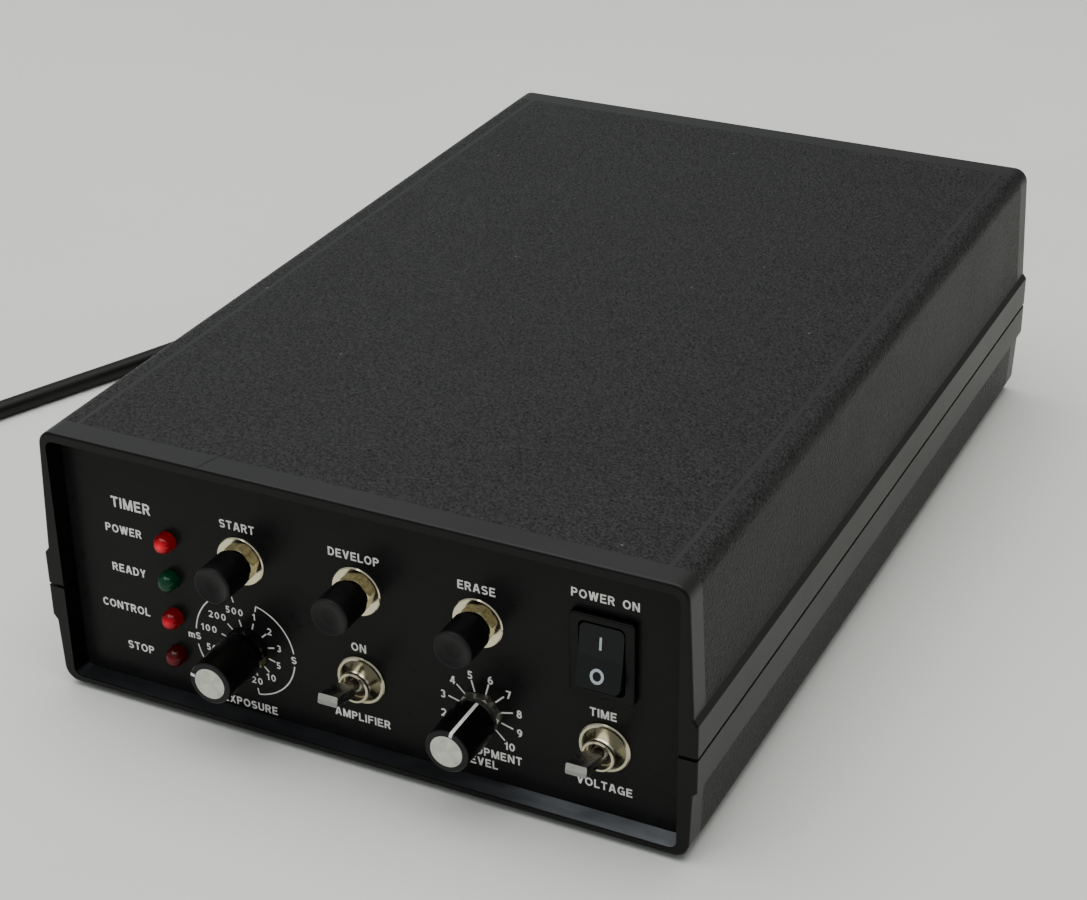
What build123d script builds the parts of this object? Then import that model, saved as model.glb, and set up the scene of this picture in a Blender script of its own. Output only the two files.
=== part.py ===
"""Darkroom exposure timer in a two-part plastic instrument case.

Millimetres, +Z up, the control panel faces -Y. While the parts are being made, y = 0 is the
front rim of the case; export moves them so that the origin is the middle of the footprint.
"""

from build123d import *
import math
import os

# ---------------------------------------------------------------- driving dimensions
case_width = 175.0           # across the smooth bands at mid height
case_depth = 261.0
case_top = 73.4              # table to top face
foot_lift = 1.5              # gap between table and case
parting_height = 29.4        # middle of the groove between the two covers
parting_gap = 0.9
band_bottom = 20.3           # the smooth bands stand proud of the walls above and below
band_top = 38.4
band_step = 1.4              # height of the slope from band to wall
top_half_width = 84.7
upper_wall_half_width = 86.35
lower_wall_half_width = 86.35
base_half_width = 85.7
long_edge_radius = 4.0       # the four edges that run front to back
rim_edge_radius = 0.7
wall = 2.6
tongue_thickness = 1.1
tongue_rise = 2.0

# panels held in slots behind the front and rear rims
rim_depth = 5.0              # panel face behind the rim
panel_thickness = 2.0
slot_slack = 0.1
rim_side = 2.9               # rim widths at its face, after its half width there
rim_top = 2.5
rim_bottom = 1.9
rim_slope = 0.7              # how much the opening narrows by the time it meets the panel
rim_corner_radius = 2.2
slot_half_width = 83.4
slot_bottom = 3.9
slot_top = 71.4
rib_thickness = 2.0
rib_half_width = 80.6
rib_bottom = 6.4
rib_top = 68.6

# control panel grid
column_pitch = 31.8
first_column = -32.45
columns = [first_column + column_pitch * i for i in range(4)]
upper_row = 47.6
button_row = 47.3            # the push-buttons' holes stand a touch low
lower_row = 22.6
led_column = -53.4
led_pitch = 10.85

# push-buttons, 1/4 inch bushing
bushing_radius = 3.175
bushing_hole_radius = 3.3
button_cap_radius = 4.85
button_front = -7.9
button_dish = 1.1            # depth of the hollow for the fingertip
button_back = 1.2
button_travel = 1.3
plunger_radius = 1.6
running_clearance = 0.05
flange_radius = 6.5
flange_thickness = 0.6
nut_flats = 8.2
nut_thickness = 1.7
nut_turn = 10.0              # how the hexagon happens to stand, degrees

# toggle switches
toggle_pivot_y = 3.4
toggle_tilt = 15.0           # lever either side of straight out
toggle_tip_y = -11.0
lever_width = 5.2
lever_thickness = 2.6

# power rocker
rocker_width = 16.0
rocker_height = 21.4
rocker_bezel = 2.0
rocker_window_width = 11.5
rocker_paddle_width = 10.9
rocker_pivot_y = 5.6
rocker_radius = 8.7
rocker_window_height = 18.1
rocker_tilt = 10.0
rocker_corner = 1.6

# knobs
knob_front = -12.0
knob_back = 1.0
knob_base_radius = 5.9
knob_front_radius = 5.55
knob_disc_radius = 4.12
shaft_radius = 3.0
pot_bushing_radius = 3.5
pot_nut_flats = 10.2
pot_nut_thickness = 2.4

# light-emitting diodes, 5 mm
led_radius = 2.5
led_front = 0.9

# circuit board
board_bottom = 14.0
board_thickness = 1.6
board_half_width = 68.0
board_front = 42.0
board_back = 168.0
board_hole_x = 60.0
board_hole_front = 50.0
board_hole_back = 160.0

# case screws and feet
boss_x = 77.0
boss_front = 22.0
foot_x = 62.0
foot_radius = 6.35
foot_thickness = 2.4

# screws inside the case, M3 x 6
inner_screw_radius = 1.45
inner_screw_length = 6.0

# rear panel
transformer_x = -38.0
transformer_y = 198.0
fuse_x = -58.0
fuse_z = 26.0
outlet_x = 38.0
outlet_z = 42.0
signal_x = -25.0
signal_z = 50.0
cord_x = -25.0
cord_z = 18.0

# mains lead
cord_radius = 2.7
relief_length = 28.0
coil_pitch = 5.5             # between neighbouring turns
coil_radii = [37.0, 31.5, 26.0]
coil_layers = 2
coil_turns = 5.25            # inwards on the table, then outwards on top of those turns
cord_floor = cord_radius + 0.05
plug_length = 36.0
plug_width = 35.3
plug_thickness = 13.7

panel_face = rim_depth
panel_back = rim_depth + panel_thickness
rear_face = case_depth - rim_depth
rear_inside = rear_face - panel_thickness
board_top = board_bottom + board_thickness
floor_top = foot_lift + wall


# ---------------------------------------------------------------- small shape makers
def block(x0, x1, y0, y1, z0, z1):
    """Box between two opposite corners."""
    middle = Pos((x0 + x1) / 2, (y0 + y1) / 2, (z0 + z1) / 2)
    return middle * Box(x1 - x0, y1 - y0, z1 - z0)


def rod(radius, y0, y1, x=0.0, z=0.0):
    """Cylinder lying front to back."""
    return Pos(x, (y0 + y1) / 2, z) * Rot(90, 0, 0) * Cylinder(radius, y1 - y0)


def post(radius, z0, z1, x, y):
    """Upright cylinder."""
    return Pos(x, y, (z0 + z1) / 2) * Cylinder(radius, z1 - z0)


def along_y(sketch, y0, y1):
    """A front-view outline, drawn as (x, z), given depth from y0 to y1."""
    return Pos(0, y1, 0) * Rot(90, 0, 0) * extrude(sketch, y1 - y0)


def along_x(points, x0, x1):
    """A side-view outline, given as (y, z), made x0 to x1 wide."""
    face = Plane.YZ.offset(x0) * make_face(Polyline(*points, close=True))
    return extrude(face, x1 - x0, dir=(1, 0, 0))


def hexagon(flats, y0, y1, x, z, turn=0.0):
    """Hexagonal bar lying front to back."""
    bar = along_y(Rot(0, 0, turn) * RegularPolygon(flats / 2, 6, major_radius=False), y0, y1)
    return Pos(x, 0, z) * bar


def turned(profile, x=0.0, z=0.0):
    """Solid of revolution about a front-to-back axis; profile holds (radius, y) points."""
    face = make_face(Polyline(*profile, close=True))
    return Pos(x, 0, z) * revolve(face, Axis.Y)


def four_corners(x, front, back):
    """The places of four matching fasteners."""
    return [(sx * x, y) for sx in (-1, 1) for y in (front, back)]


def behind(shape):
    """The same shape at the other end of the case."""
    return mirror(shape, Plane.XZ.offset(-case_depth / 2))


def group(shapes):
    """Separate pieces that share one node."""
    return Compound(children=list(shapes))


parts = {}


# ---------------------------------------------------------------- case
def case_outline():
    """Front view of the closed case, bands included, with its four rounded corners."""
    right = [
        (base_half_width, foot_lift),
        (lower_wall_half_width, band_bottom - band_step),
        (case_width / 2, band_bottom),
        (case_width / 2, band_top),
        (upper_wall_half_width, band_top + band_step),
        (top_half_width, case_top),
    ]
    left = [(-x, z) for x, z in reversed(right)]
    face = make_face(Polyline(*right, *left, close=True))
    by_height = face.vertices().sort_by(Axis.Y)
    return fillet(by_height[:2] + by_height[-2:], long_edge_radius)


def rim_negative():
    """What is cut away at the front end: tapered opening, panel slot and rib window."""
    low = foot_lift + rim_bottom
    high = case_top - rim_top
    half = base_half_width - rim_side
    mid = (low + high) / 2
    mouth = RectangleRounded(2 * half, high - low, rim_corner_radius)
    seat = RectangleRounded(2 * (half - rim_slope), high - low - 2 * rim_slope, rim_corner_radius)
    reach = 0.5
    opening = loft([
        Pos(0, -reach, mid) * Rot(90, 0, 0) * mouth,
        Pos(0, 0, mid) * Rot(90, 0, 0) * mouth,
        Pos(0, rim_depth + reach, mid) * Rot(90, 0, 0) * seat,
    ], ruled=True)
    slot_back = panel_back + slot_slack
    slot = block(-slot_half_width, slot_half_width, rim_depth, slot_back, slot_bottom, slot_top)
    window = block(-rib_half_width, rib_half_width, slot_back - 0.1, slot_back + rib_thickness + 0.1,
                   rib_bottom, rib_top)
    return opening + slot + window


def case_hollow():
    """Everything inside the case walls."""
    start = panel_back + slot_slack + rib_thickness
    cavity = along_y(offset(case_outline(), -wall), start, case_depth - start)
    end = rim_negative()
    return cavity + end + behind(end)


outer = along_y(case_outline(), 0, case_depth)
end_edges = outer.edges().filter_by_position(Axis.Y, -0.01, 0.01)
end_edges += outer.edges().filter_by_position(Axis.Y, case_depth - 0.01, case_depth + 0.01)
outer = fillet(end_edges, rim_edge_radius)
shell = outer - case_hollow()

groove_low = parting_height - parting_gap / 2
groove_high = parting_height + parting_gap / 2
reach = case_width
upper_half = block(-reach, reach, -reach, 2 * case_depth, groove_high, 2 * case_top)
lower_half = block(-reach, reach, -reach, 2 * case_depth, -case_top, groove_low)

tongue_inner = case_width / 2 - wall
tongue_start = 1.4


def tongue(thickness, rise, slack):
    """Lip of the lower cover on one side, or the rebate that takes it."""
    x0 = tongue_inner - slack
    return block(x0, x0 + thickness + 2 * slack, tongue_start - slack,
                 case_depth - tongue_start + slack, groove_low - 0.5, groove_high + rise)


right_tongue = tongue(tongue_thickness, tongue_rise, 0.0)
right_rebate = tongue(tongue_thickness, tongue_rise + 0.4, 0.15)
boss_places = four_corners(boss_x, boss_front, case_depth - boss_front)
screw_seat = 15.0
screw_tip = 45.0

top_cover = (shell & upper_half) - right_rebate - mirror(right_rebate, Plane.YZ)
for x, y in boss_places:
    top_cover += post(4.2, groove_low + 0.4, case_top - 1.0, x, y)
    top_cover -= post(1.75, groove_low, screw_tip + 2.0, x, y)
parts["top_cover"] = top_cover

standoffs = four_corners(board_hole_x, board_hole_front, board_hole_back)
transformer_feet = [(transformer_x - 30.0, transformer_y), (transformer_x + 30.0, transformer_y)]
foot_places = four_corners(foot_x, boss_front, case_depth - boss_front)

bottom_cover = (shell & lower_half) + right_tongue + mirror(right_tongue, Plane.YZ)
for x, y in boss_places:
    bottom_cover += post(4.7, floor_top - 1.0, groove_low - 0.4, x, y)
    bottom_cover -= post(1.9, 0.0, groove_high, x, y)
    bottom_cover -= post(3.7, 0.0, screw_seat, x, y)
for x, y in standoffs:
    bottom_cover += post(3.5, floor_top - 1.0, board_bottom, x, y)
    bottom_cover -= post(inner_screw_radius + 0.05, board_top - inner_screw_length - 1.0, board_bottom + 1.0, x, y)
for x, y in transformer_feet:
    bottom_cover += post(4.5, floor_top - 1.0, floor_top + 4.0, x, y)
    bottom_cover -= post(inner_screw_radius + 0.05, floor_top - 1.3, floor_top + 5.0, x, y)
for x, y in foot_places:
    bottom_cover -= post(foot_radius + 0.1, 0.0, foot_thickness + 0.1, x, y)
parts["bottom_cover"] = bottom_cover

parts["feet"] = group(
    Pos(x, y, foot_thickness / 2) * Cone(foot_radius - 0.7, foot_radius, foot_thickness)
    for x, y in foot_places
)


def machine_screw(x, y, head_bottom, head_radius, head_height, shank_radius, tip, from_below=False):
    """Cross-head screw standing on its head or hanging from it, in line with Z."""
    if from_below:
        head = post(head_radius, head_bottom - head_height, head_bottom, x, y)
        slot_z = head_bottom - head_height
    else:
        head = post(head_radius, head_bottom, head_bottom + head_height, x, y)
        slot_z = head_bottom + head_height
    head = chamfer(head.edges().filter_by(GeomType.CIRCLE).sort_by(Axis.Z)[0 if from_below else -1], 0.4)
    cross = block(x - 0.4, x + 0.4, y - 1.8, y + 1.8, slot_z - 1.0, slot_z + 1.0)
    cross += block(x - 1.8, x + 1.8, y - 0.4, y + 0.4, slot_z - 1.0, slot_z + 1.0)
    shank = post(shank_radius, min(tip, head_bottom), max(tip, head_bottom), x, y)
    return head - cross + shank


parts["case_screws"] = group(
    machine_screw(x, y, screw_seat, 3.4, 2.4, 1.7, screw_tip, from_below=True) for x, y in boss_places
)

# ---------------------------------------------------------------- front panel
panel_sketch_half = slot_half_width - 0.2
panel_low = slot_bottom + 0.3
panel_high = slot_top - 0.3


def blank_panel(y0, y1):
    """Plain plate that slides into the slots."""
    middle = (panel_low + panel_high) / 2
    plate = RectangleRounded(2 * panel_sketch_half, panel_high - panel_low, 0.8)
    return along_y(Pos(0, middle) * plate, y0, y1)


led_places = [(name, upper_row - led_pitch * i)
              for i, name in enumerate(["power_led", "ready_led", "control_led", "stop_led"])]
buttons = list(zip(["start", "develop", "erase"], columns))
toggles = [("amplifier", columns[1]), ("mode", columns[3])]
knobs = [("exposure", columns[0]), ("level", columns[0] + 2 * column_pitch)]
rocker_x = columns[3]

front_panel = blank_panel(panel_face, panel_back)
for name, z in led_places:
    front_panel -= rod(led_radius + 0.1, 0, 10, led_column, z)
for name, x in buttons:
    front_panel -= rod(bushing_hole_radius, 0, 10, x, button_row)
for name, x in toggles:
    front_panel -= rod(bushing_hole_radius, 0, 10, x, lower_row)
for name, x in knobs:
    front_panel -= rod(pot_bushing_radius + 0.15, 0, 10, x, lower_row)
rocker_hole = (rocker_width - 2.4, rocker_height - 1.6)
front_panel -= block(rocker_x - rocker_hole[0] / 2, rocker_x + rocker_hole[0] / 2, 0, 10,
                     upper_row - rocker_hole[1] / 2, upper_row + rocker_hole[1] / 2)
parts["front_panel"] = front_panel


# ---------------------------------------------------------------- indicator lamps
def led(z):
    """Domed epoxy body with its flange behind the panel, and two wires."""
    straight = led_front + led_radius
    body = rod(led_radius, straight, 9.2, led_column, z)
    body += Pos(led_column, straight, z) * Sphere(led_radius)
    body += rod(led_radius + 0.4, 9.2, 10.2, led_column, z)
    for side in (-1.27, 1.27):
        body += block(led_column + side - 0.25, led_column + side + 0.25, 10.0, 23.0, z - 0.25, z + 0.25)
    return body


for name, z in led_places:
    parts[name] = led(z)
parts["led_clips"] = group(
    rod(led_radius + 1.3, panel_back, 9.1, led_column, z) - rod(led_radius + 0.08, panel_back - 1, 10, led_column, z)
    for name, z in led_places
)

# ---------------------------------------------------------------- push-buttons
nut_back = panel_face - flange_thickness
nut_front = nut_back - nut_thickness
bushing_front = nut_front - 0.4
switch_flange_back = panel_back + 1.2
switch_back = 21.0
chamber_front = 9.6
chamber_back = 19.6
spring_wire = 0.3


def button(x):
    """Cap with its plunger: the piece the finger pushes."""
    z = button_row
    cap = turned([
        (0, button_front), (button_cap_radius - 0.35, button_front),
        (button_cap_radius, button_front + 0.35), (button_cap_radius, button_back),
        (bushing_radius + 0.45, button_back), (bushing_radius + 0.45, button_back - 2.4),
        (0, button_back - 2.4),
    ], x, z)
    dish_mouth = button_cap_radius - 0.6
    dish_radius = (dish_mouth ** 2 + button_dish ** 2) / (2 * button_dish)
    cap -= Pos(x, button_front + button_dish - dish_radius, z) * Sphere(dish_radius)
    stem = rod(plunger_radius, button_back - 3.0, chamber_front + 2.4, x, z)
    stop = rod(plunger_radius + 1.5, chamber_front + 0.2, chamber_front + 1.4, x, z)
    return cap + stem + stop


def button_switch(x):
    """Threaded bushing, square housing and two solder tags."""
    z = button_row
    body = rod(bushing_radius, bushing_front, panel_back + 1.0, x, z)
    body += rod(5.2, panel_back, switch_flange_back, x, z)
    body += block(x - 6.4, x + 6.4, switch_flange_back, switch_back, z - 6.4, z + 6.4)
    body -= rod(plunger_radius + running_clearance, 0, chamber_back, x, z)
    body -= rod(4.0, chamber_front, chamber_back, x, z)
    for side in (-3.0, 3.0):
        body += block(x + side - 0.4, x + side + 0.4, switch_back - 1.0, switch_back + 5.0, z - 1.2, z + 1.2)
    return body


def return_spring(x):
    """Compression spring between the plunger's collar and the end of its chamber."""
    start = chamber_front + 1.4 + spring_wire
    length = chamber_back - start - spring_wire
    turns = 5
    coil = Helix(length / turns, length, 2.4)
    profile = Plane(coil @ 0, z_dir=coil % 0) * Circle(spring_wire)
    return Pos(x, start, button_row) * Rot(-90, 0, 0) * sweep(profile, path=coil)


for name, x in buttons:
    parts[name + "_button"] = button(x)
    parts[name + "_switch"] = button_switch(x)
    parts[name + "_spring"] = return_spring(x)


def bushing_nut(x, z, flats, y0, y1, bore, turn):
    """Hexagon nut with its front corners turned off."""
    nut = hexagon(flats, y0, y1, x, z, turn)
    corner = flats / 2 / math.cos(math.radians(30))
    cone = turned([(0, y0), (corner - 0.45, y0), (corner, y0 + 0.35), (corner, y1), (0, y1)], x, z)
    return (nut & cone) - rod(bore, y0 - 1, y1 + 1, x, z)


parts["button_nuts"] = group(
    bushing_nut(x, button_row, nut_flats, nut_front, nut_back, bushing_radius + 0.05, nut_turn)
    for name, x in buttons
)


def polished_washer(x, z):
    """Thin flange with a rounded edge, under a button's nut."""
    edge = 0.25
    return turned([
        (bushing_radius + 0.1, nut_back), (flange_radius - edge, nut_back), (flange_radius, nut_back + edge),
        (flange_radius, panel_face), (bushing_radius + 0.1, panel_face),
    ], x, z)


parts["button_washers"] = group(polished_washer(x, button_row) for name, x in buttons)

# ---------------------------------------------------------------- toggle switches
ring_front = 0.65
toggle_bushing_front = 2.7
toggle_bore = 2.45


def dress_nut(x):
    """Round nut: flange on the panel, hollow flank, bright ring in front."""
    flank = ThreePointArc((5.55, 4.15), (4.53, 3.0), (3.75, 1.7))
    outline = Polyline((3.75, 1.7), (4.1, 1.35), (4.1, ring_front + 0.15), (3.95, ring_front),
                       (3.45, ring_front), (3.45, toggle_bushing_front), (bushing_radius + 0.05, toggle_bushing_front),
                       (bushing_radius + 0.05, panel_face), (flange_radius, panel_face),
                       (flange_radius, 4.45), (flange_radius - 0.3, 4.15), (5.55, 4.15))
    face = make_face([flank] + outline.edges())
    return Pos(x, 0, lower_row) * revolve(face, Axis.Y)


def toggle_switch(x):
    """Bushing with a flared mouth, rectangular housing and six tags."""
    z = lower_row
    back = 19.0
    body = rod(bushing_radius, toggle_bushing_front, panel_back + 3.2, x, z)
    body += block(x - 5.7, x + 5.7, panel_back + 3.0, back, z - 6.35, z + 6.35)
    body -= rod(toggle_bore, 0, 16.0, x, z)
    body -= turned([(0, 1.0), (3.0, 1.0), (toggle_bore, 3.0), (0, 3.0)], x, z)
    for column in (-2.5, 2.5):
        for row in (-4.7, 0.0, 4.7):
            body += block(x + column - 0.4, x + column + 0.4, back - 1.0, back + 4.0,
                          z + row - 1.0, z + row + 1.0)
    return body


def toggle_lever(x):
    """Flat-sided lever on a ball, drawn straight out and then tipped up."""
    pivot = toggle_pivot_y
    ball = Pos(0, pivot, 0) * Sphere(toggle_bore - running_clearance)
    neck = turned([(0, toggle_tip_y + 6), (1.3, toggle_tip_y + 6), (1.3, -0.8), (1.55, pivot), (0, pivot)])
    half_width = lever_width / 2
    half_thick = lever_thickness / 2
    shoulder = -0.6
    paddle = loft([
        Pos(0, shoulder, 0) * Rot(90, 0, 0) * RectangleRounded(3.0, lever_thickness, 0.6),
        Pos(0, shoulder - 2.2, 0) * Rot(90, 0, 0) * RectangleRounded(lever_width, lever_thickness, 0.45),
        Pos(0, toggle_tip_y, 0) * Rot(90, 0, 0) * RectangleRounded(lever_width, lever_thickness, 0.45),
    ], ruled=True)
    tail = rod(0.9, pivot, pivot + 5.0)
    lever = ball + neck + paddle + tail
    about = Pos(0, pivot, 0) * Rot(-toggle_tilt, 0, 0) * Pos(0, -pivot, 0)
    return Pos(x, 0, lower_row) * about * lever


for name, x in toggles:
    parts[name + "_lever"] = toggle_lever(x)
    parts[name + "_switch"] = toggle_switch(x)
parts["dress_nuts"] = group(dress_nut(x) for name, x in toggles)
parts["toggle_back_nuts"] = group(
    bushing_nut(x, lower_row, 8.0, panel_back, panel_back + 2.0, bushing_radius + 0.05, 0.0)
    for name, x in toggles
)

# ---------------------------------------------------------------- power rocker
bezel_front = panel_face - rocker_bezel
rocker_back = 22.0


def rocker_housing():
    """Bezel, snap-in body with a pocket for the paddle, and blade terminals."""
    half_w = rocker_width / 2
    half_h = rocker_height / 2
    bezel = block(-half_w, half_w, bezel_front, panel_face, -half_h, half_h)
    bezel = fillet(bezel.edges().filter_by(Axis.Y), 1.0)
    front_edges = bezel.edges().filter_by_position(Axis.Y, bezel_front - 0.01, bezel_front + 0.01)
    bezel = fillet(front_edges, 0.5)
    body_w = rocker_hole[0] / 2 - 0.15
    body_h = rocker_hole[1] / 2 - 0.15
    body = bezel + block(-body_w, body_w, panel_face, rocker_back, -body_h, body_h)
    pocket_w = rocker_window_width / 2
    pocket_h = rocker_window_height / 2
    pocket = block(-pocket_w, pocket_w, 0, 17.0, -pocket_h, pocket_h)
    body -= fillet(pocket.edges().filter_by(Axis.Y), rocker_corner)
    for z in (-5.5, 5.5):
        body += block(-2.4, 2.4, rocker_back - 1.0, rocker_back + 6.0, z - 0.4, z + 0.4)
    return Pos(rocker_x, 0, upper_row) * body


def rocker_paddle():
    """Two flats that meet in a shallow valley, tipped so that the lower half stands out."""
    half = rocker_paddle_width / 2
    pivot = rocker_pivot_y
    valley = 2.3
    crest = 1.8
    drum = Pos(0, pivot, 0) * Rot(0, 90, 0) * Cylinder(rocker_radius, rocker_paddle_width)
    wedge = along_x([(valley, 0), (crest, 9), (pivot + 3.4, 9), (pivot + 3.4, -9), (crest, -9)], -half, half)
    reach = rocker_radius * math.cos(math.asin((pivot - crest) / rocker_radius))
    outline = along_y(RectangleRounded(rocker_paddle_width, 2 * reach, rocker_corner), -reach, pivot + reach)
    paddle = drum & wedge & outline
    paddle += Pos(0, pivot, 0) * Rot(0, 90, 0) * Cylinder(1.2, rocker_window_width - 0.1)
    about = Pos(0, pivot, 0) * Rot(-rocker_tilt, 0, 0) * Pos(0, -pivot, 0)
    return Pos(rocker_x, 0, upper_row) * about * paddle


parts["rocker_housing"] = rocker_housing()
parts["power_rocker"] = rocker_paddle()

# ---------------------------------------------------------------- knobs and what they turn
shaft_front = knob_front + 2.4
pot_nut_front = panel_face - pot_nut_thickness
pot_bushing_front = knob_back + 0.2
level_back = 16.5
exposure_back = 25.0


def knob(x):
    """Slim collet knob, open behind for the shaft and in front for its cap."""
    z = lower_row
    body = turned([
        (0, knob_front + 2.0), (knob_disc_radius + 0.05, knob_front + 2.0), (knob_disc_radius + 0.05, knob_front),
        (knob_front_radius - 0.25, knob_front), (knob_front_radius, knob_front + 0.25),
        (knob_base_radius, knob_back - 0.4), (knob_base_radius - 0.3, knob_back), (0, knob_back),
    ], x, z)
    body -= rod(shaft_radius + 0.02, shaft_front, knob_back + 1.0, x, z)
    return body - rod(pot_bushing_radius + 0.4, knob_back - 1.2, knob_back + 1.0, x, z)


def knob_cap(x):
    """Pale disc pressed into the front of a knob."""
    z = lower_row
    return turned([
        (0, knob_front - 0.05), (knob_disc_radius - 0.25, knob_front - 0.05),
        (knob_disc_radius, knob_front + 0.15), (knob_disc_radius, knob_front + 1.9), (0, knob_front + 1.9),
    ], x, z)


def control_shaft(x, back):
    """Round spindle with a rotor disc inside the control."""
    z = lower_row
    spindle = rod(shaft_radius, shaft_front + 0.1, back - 2.0, x, z)
    return spindle + rod(5.5, back - 4.0, back - 3.0, x, z)


def rotary_body(x, radius, back, tags, first_angle, span):
    """Threaded bushing on a round can with a ring of solder tags."""
    z = lower_row
    body = rod(pot_bushing_radius, pot_bushing_front, panel_back + 1.0, x, z)
    body += rod(radius, panel_back, back, x, z)
    body -= rod(shaft_radius + running_clearance, 0, back - 1.5, x, z)
    body -= rod(radius - 1.5, back - 5.0, back - 1.5, x, z)
    for i in range(tags):
        angle = math.radians(first_angle + span * i / (tags - 1))
        tag_x = x + (radius - 2.2) * math.cos(angle)
        tag_z = z + (radius - 2.2) * math.sin(angle)
        body += block(tag_x - 0.5, tag_x + 0.5, back - 1.0, back + 4.5, tag_z - 0.5, tag_z + 0.5)
    return body


exposure_x = columns[0]
level_x = columns[2]
for name, x in knobs:
    parts[name + "_knob"] = knob(x)
    parts[name + "_knob_cap"] = knob_cap(x)
parts["exposure_shaft"] = control_shaft(exposure_x, exposure_back)
parts["level_shaft"] = control_shaft(level_x, level_back)
parts["exposure_selector"] = rotary_body(exposure_x, 11.5, exposure_back, 12, 15, 330)
parts["level_potentiometer"] = rotary_body(level_x, 8.5, level_back, 3, 240, 60)
parts["knob_nuts"] = group(
    bushing_nut(x, lower_row, pot_nut_flats, pot_nut_front, panel_face, pot_bushing_radius + 0.05, turn)
    for (name, x), turn in zip(knobs, (24.0, 6.0))
)

# ---------------------------------------------------------------- circuit board and what it carries
board = block(-board_half_width, board_half_width, board_front, board_back, board_bottom, board_top)
for x, y in standoffs:
    board -= post(1.6, 0, 40, x, y)
parts["circuit_board"] = board


def integrated_circuit(x, y):
    """Sixteen-pin chip."""
    body = block(x - 9.6, x + 9.6, y - 3.2, y + 3.2, board_top + 0.8, board_top + 4.1)
    for i in range(8):
        pin_x = x + 2.54 * (i - 3.5)
        for side in (-1, 1):
            y0, y1 = sorted((y + side * 3.1, y + side * 3.9))
            body += block(pin_x - 0.4, pin_x + 0.4, y0, y1, board_top, board_top + 2.6)
    return body


chip_places = [(-34.0, 76.0), (-6.0, 76.0), (22.0, 76.0), (-6.0, 100.0)]
parts["integrated_circuits"] = group(integrated_circuit(x, y) for x, y in chip_places)


def can_capacitor(x, y, radius, height):
    """Electrolytic can with its rolled neck."""
    neck = 2.5
    profile = [
        (0, 0), (radius - 0.4, 0), (radius, 0.4), (radius, neck), (radius - 0.5, neck + 0.5),
        (radius, neck + 1.0), (radius, height - 0.6), (radius - 0.6, height), (0, height),
    ]
    face = make_face(Polyline(*profile, close=True))
    return Pos(x, y, board_top) * Rot(90, 0, 0) * revolve(face, Axis.Y)


parts["smoothing_capacitors"] = group([can_capacitor(10.0, 150.0, 8.0, 25.0), can_capacitor(10.0, 128.0, 8.0, 25.0)])
parts["relay"] = fillet(
    block(-50.0, -22.0, 126.0, 139.0, board_top, board_top + 15.5).edges().filter_by(Axis.Z), 0.8
)

sink_x = 42.0
sink_y = 146.0


def heat_sink():
    """Plate with fins that stand behind it."""
    body = block(sink_x - 14, sink_x + 14, sink_y, sink_y + 2.5, board_top, board_top + 30)
    for i in range(6):
        x = sink_x - 13.2 + i * 5.28
        body += block(x - 0.8, x + 0.8, sink_y + 2.0, sink_y + 13.0, board_top, board_top + 30)
    return body - rod(1.7, sink_y - 1, sink_y + 4, sink_x, board_top + 22)


def regulator():
    """Power transistor package flat against the heat sink."""
    tab = block(sink_x - 5, sink_x + 5, sink_y - 1.3, sink_y, board_top + 9, board_top + 25)
    tab -= rod(1.8, sink_y - 3, sink_y + 1, sink_x, board_top + 22)
    body = tab + block(sink_x - 5, sink_x + 5, sink_y - 4.5, sink_y - 1.3, board_top + 9, board_top + 18)
    for x in (-2.54, 0.0, 2.54):
        body += block(sink_x + x - 0.4, sink_x + x + 0.4, sink_y - 3.4, sink_y - 2.8, board_top, board_top + 9.5)
    return body


parts["heat_sink"] = heat_sink()
parts["regulator"] = regulator()

# ---------------------------------------------------------------- mains transformer
strap = 1.0
strap_bottom = floor_top + 4.0
core_bottom = strap_bottom + strap
core_width = 48.0
core_height = 40.0
core_stack = 20.0
window_width = 8.0
window_height = 24.0


def transformer_core():
    """Stack of E and I laminations: a block with two windows."""
    body = block(-core_width / 2, core_width / 2, -core_stack / 2, core_stack / 2, 0, core_height)
    middle = core_height / 2
    for side in (-1, 1):
        x = side * (core_width / 4)
        body -= block(x - window_width / 2, x + window_width / 2, -core_stack, core_stack,
                      middle - window_height / 2, middle + window_height / 2)
    return Pos(transformer_x, transformer_y, core_bottom) * body


def transformer_coil():
    """Bobbin and winding that fill the windows and bulge front and back."""
    slack = 0.2
    inner_x = core_width / 4 - window_width / 2 - slack
    outer_x = core_width / 4 + window_width / 2 - slack
    half_height = window_height / 2 - slack
    winding = block(-outer_x, outer_x, -18.0, 18.0, -half_height, half_height)
    winding = fillet(winding.edges().filter_by(Axis.Z), 4.0)
    winding -= block(-inner_x - 2 * slack, inner_x + 2 * slack, -core_stack / 2 - slack,
                     core_stack / 2 + slack, -core_height, core_height)
    return Pos(transformer_x, transformer_y, core_bottom + core_height / 2) * winding


def transformer_bracket():
    """Steel strap that wraps the core, with a fixing ear on each side."""
    half = core_width / 2 + 0.1
    depth = 7.0
    top = core_height + 0.1
    body = block(-36.0, 36.0, -depth, depth, -strap, 0)
    body += block(-half - strap, -half, -depth, depth, -strap, top + strap)
    body += block(half, half + strap, -depth, depth, -strap, top + strap)
    body += block(-half - strap, half + strap, -depth, depth, top, top + strap)
    for x in (-30.0, 30.0):
        body -= post(1.8, -5, 5, x, 0)
    return Pos(transformer_x, transformer_y, core_bottom) * body


parts["transformer_core"] = transformer_core()
parts["transformer_coil"] = transformer_coil()
parts["transformer_bracket"] = transformer_bracket()
inner_screw_places = [(x, y, board_top) for x, y in standoffs]
inner_screw_places += [(x, y, core_bottom) for x, y in transformer_feet]
parts["inner_screws"] = group(
    machine_screw(x, y, z, 2.8, 2.0, inner_screw_radius, z - inner_screw_length)
    for x, y, z in inner_screw_places
)

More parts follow.
